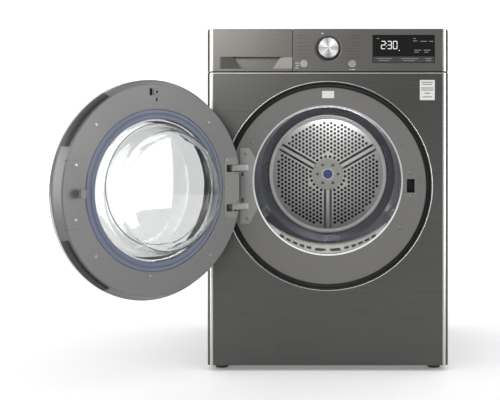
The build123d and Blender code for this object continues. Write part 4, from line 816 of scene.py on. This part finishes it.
# Touch strip: a satin grey band under the figures, with the names of three keys as strokes.
strip = finish("touch_strip", "#3a3a3a", "#343434", 4, 0.25)
strip_film = strokes(((113, 264, 773.7),), 15)
plates("touch_strip", "root", strip, strip_film, pane_face, 0.00005)
marks = [(122, 160, 776), (128, 152, 771), (182, 224, 776), (188, 216, 771)]
marks += [(242, 258, 776), (244, 256, 771)]
plates("strip_marks", "root", dim, strokes(marks, 1.3), pane_face, 0.0001)

# Sticker and tag: coated white paper with plain grey bars, and a small white tag at the top of
# the surround.
paper = finish("coated_label_paper", "#e0e0de", "#d8d8d6", 3, 0.35)
paper_thickness = 0.00012
sticker = [(0.2286, 0.6729, 0.2657, 0.7229)]
plates("front_sticker", "root", paper, sticker, front_face, paper_thickness)
bars = [(233, 261, 717), (235, 259, 712), (232, 262, 703)]
bars += [(232, 262, 698), (240, 255, 690), (236, 258, 681)]
plates(
    "sticker_bars", "root", dim, strokes(bars, 2.6),
    front_face - paper_thickness, 0.00006,
)
surround_face = front_face + 0.008
tag = [(-0.0143, 0.678, 0.0157, 0.696)]
plates("surround_tag", "root", paper, tag, surround_face, paper_thickness)

# Slots of the lint filter: openings between the ribs of its cream frame, and two longer ones
# beside the finger catch in the middle, each shown as a thin block of painted shade on the frame's
# face. One node tree lays the blocks along an arc, and the door's finger grips use it again.
rib_tree = bpy.data.node_groups.new("grip_ribs", "GeometryNodeTree")
rib_sockets = {}
rib_tree.interface.new_socket("Geometry", in_out="INPUT", socket_type="NodeSocketGeometry")
for name, kind in (
    ("Radius", "NodeSocketFloat"), ("Start Angle", "NodeSocketFloat"), ("Sweep Angle", "NodeSocketFloat"),
    ("Ribs", "NodeSocketInt"), ("Rib Size", "NodeSocketVector"), ("Material", "NodeSocketMaterial"),
):
    rib_sockets[name] = rib_tree.interface.new_socket(name, in_out="INPUT", socket_type=kind).identifier
rib_tree.interface.new_socket("Geometry", in_out="OUTPUT", socket_type="NodeSocketGeometry")
entry = add(rib_tree, "NodeGroupInput")
arc = add(
    rib_tree, "GeometryNodeCurveArc",
    {"Radius": entry.outputs["Radius"], "Start Angle": entry.outputs["Start Angle"],
     "Sweep Angle": entry.outputs["Sweep Angle"], "Resolution": 96},
)
spaced = add(
    rib_tree, "GeometryNodeCurveToPoints",
    {"Curve": arc.outputs["Curve"], "Count": entry.outputs["Ribs"]},
)
rib = add(rib_tree, "GeometryNodeMeshCube", {"Size": entry.outputs["Rib Size"]})
aligned = add(
    rib_tree, "FunctionNodeAlignRotationToVector", {"Vector": spaced.outputs["Tangent"]}, axis="X",
)
laid = add(
    rib_tree, "GeometryNodeInstanceOnPoints",
    {"Points": spaced.outputs["Points"], "Instance": rib.outputs["Mesh"],
     "Rotation": aligned.outputs["Rotation"]},
)
real = add(rib_tree, "GeometryNodeRealizeInstances", {"Geometry": laid.outputs["Instances"]})
coated = add(
    rib_tree, "GeometryNodeSetMaterial",
    {"Geometry": real.outputs["Geometry"], "Material": entry.outputs["Material"]},
)
leave = add(rib_tree, "NodeGroupOutput")
rib_tree.links.new(coated.outputs["Geometry"], leave.inputs["Geometry"])
filter_slot_shade = finish("shadowed_filter_slot", "#34332f", "#2a2926", 1.2, 0.8)
filter_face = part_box("lint_filter")[0].y
crescent_centre, crescent_radius = (0, 0.5088), 0.2094
for name, start, sweep_angle, count, length in (
    ("filter_slots_left", 237, 20, 5, 0.0115), ("filter_slots_right", 283, 20, 5, 0.0115),
    ("filter_slots_middle", 265, 10, 2, 0.026),
):
    made = grown(
        name, rib_tree, rib_sockets,
        {"Radius": crescent_radius, "Start Angle": math.radians(start),
         "Sweep Angle": math.radians(sweep_angle), "Ribs": count,
         "Rib Size": (length, 0.0052, 0.0004), "Material": filter_slot_shade},
        [(0, 0, 0)],
    )
    made.data.transform(Matrix.Rotation(math.radians(90), 4, "X"))
    crescent_place = (crescent_centre[0], filter_face - 0.0001, crescent_centre[1])
    made.data.transform(Matrix.Translation(crescent_place))
    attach(made, "filter")

# Bowl of the door: a darker ring where the wall of the bowl meets its base, painted shade for the dark line
# that the bent glass shows there.
bowl_ring_shade = finish("bowl_ring_painted_shade", "#6c665e", "#5e5850", 2, 0.3)
bowl_centre, base_radius = (0, 0.473), 0.139
turned(
    "bowl_base_ring", bead(base_radius, front_face + 0.012, 0.0022),
    bowl_ring_shade, "door", bowl_centre, turn=swing,
)

# Cover of the latch: a separate moulding let into the door's frame, seen as a thin dark seam.
seam_dark = finish("shadowed_seam", "#3a3a39", "#313130", 1.0, 0.7)
frame_face = front_face + 0.0041
seam_edges = ((183.6, 184.4, 383, 531), (183.6, 238, 382.6, 383.4), (183.6, 238, 530.6, 531.4))
seam = [(a / 1000, c / 1000, b / 1000, d / 1000) for a, b, c, d in seam_edges]
plates(
    "latch_cover_seam", "door", seam_dark, seam, frame_face, 0.0002, turn=swing,
)

# Plate of the hinge: two slots for its locating tabs, shown as thin plates of painted shade on its face.
hinge_slots = strokes(((-215, -209.5, 488), (-215, -209.5, 425)), 9)
plates(
    "hinge_tab_slots", "root", recess_painted_shade, hinge_slots,
    front_face + 0.006, 0.00012,
)

# Finger grips: rows of raised ribs on the free side of the door's rim, above and below the latch.
# They are a black rubbery moulding that stays dull beside the lacquer.
grip_black = finish("black_grip_tpe", "#2e2e2d", "#242423", 1.2, 0.6, 0.03)
door_centre = Vector((recess_centre[0], front_face, recess_centre[1]))
rim_inner, rim_outer = (0.2418, 0.0030), (0.2530, -0.0200)
pad_rise = 0.0006
rib_radius = (rim_inner[0] + rim_outer[0]) / 2 + 0.0012
rib_depth = (rim_inner[1] + rim_outer[1]) / 2
pad_sweep = 36
for name, start in (("upper_grip", 24), ("lower_grip", -60)):
    ribs = grown(
        name + "_ribs", rib_tree, rib_sockets,
        {"Radius": rib_radius, "Start Angle": math.radians(start + 1),
         "Sweep Angle": math.radians(pad_sweep - 2), "Ribs": 44,
         "Rib Size": (0.0016, 0.0030, 0.0150), "Material": grip_black},
        [(0, 0, 0)],
    )
    ribs.data.transform(Matrix.Rotation(math.radians(90), 4, "X"))
    ribs.data.transform(Matrix.Translation(door_centre + Vector((0, rib_depth, 0))))
    ribs.data.transform(swing)
    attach(ribs, "door")

    # The pad under the ribs follows the sloping rim of the door along the same arc.
    pad = bmesh.new()
    sections = []
    outline = (
        rim_inner, rim_outer,
        (rim_outer[0] + pad_rise, rim_outer[1]), (rim_inner[0], rim_inner[1] + pad_rise),
    )
    for step in range(pad_sweep + 1):
        turn = math.radians(start + step)
        sections.append([
            pad.verts.new((
                radius * math.cos(turn), front_face + depth,
                door_centre.z + radius * math.sin(turn),
            ))
            for radius, depth in outline
        ])
    for near, far in zip(sections, sections[1:]):
        for i in range(4):
            j = (i + 1) % 4
            pad.faces.new((near[i], near[j], far[j], far[i]))
    pad.faces.new(sections[0][::-1])
    pad.faces.new(sections[-1])
    bmesh.ops.recalc_face_normals(pad, faces=pad.faces)
    pad.transform(swing)
    pad_mesh = bpy.data.meshes.new(name + "_pad")
    pad.to_mesh(pad_mesh)
    pad.free()
    pad_mesh.materials.append(grip_black)
    grip_pad = bpy.data.objects.new(name + "_pad", pad_mesh)
    bpy.context.scene.collection.objects.link(grip_pad)
    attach(grip_pad, "door")
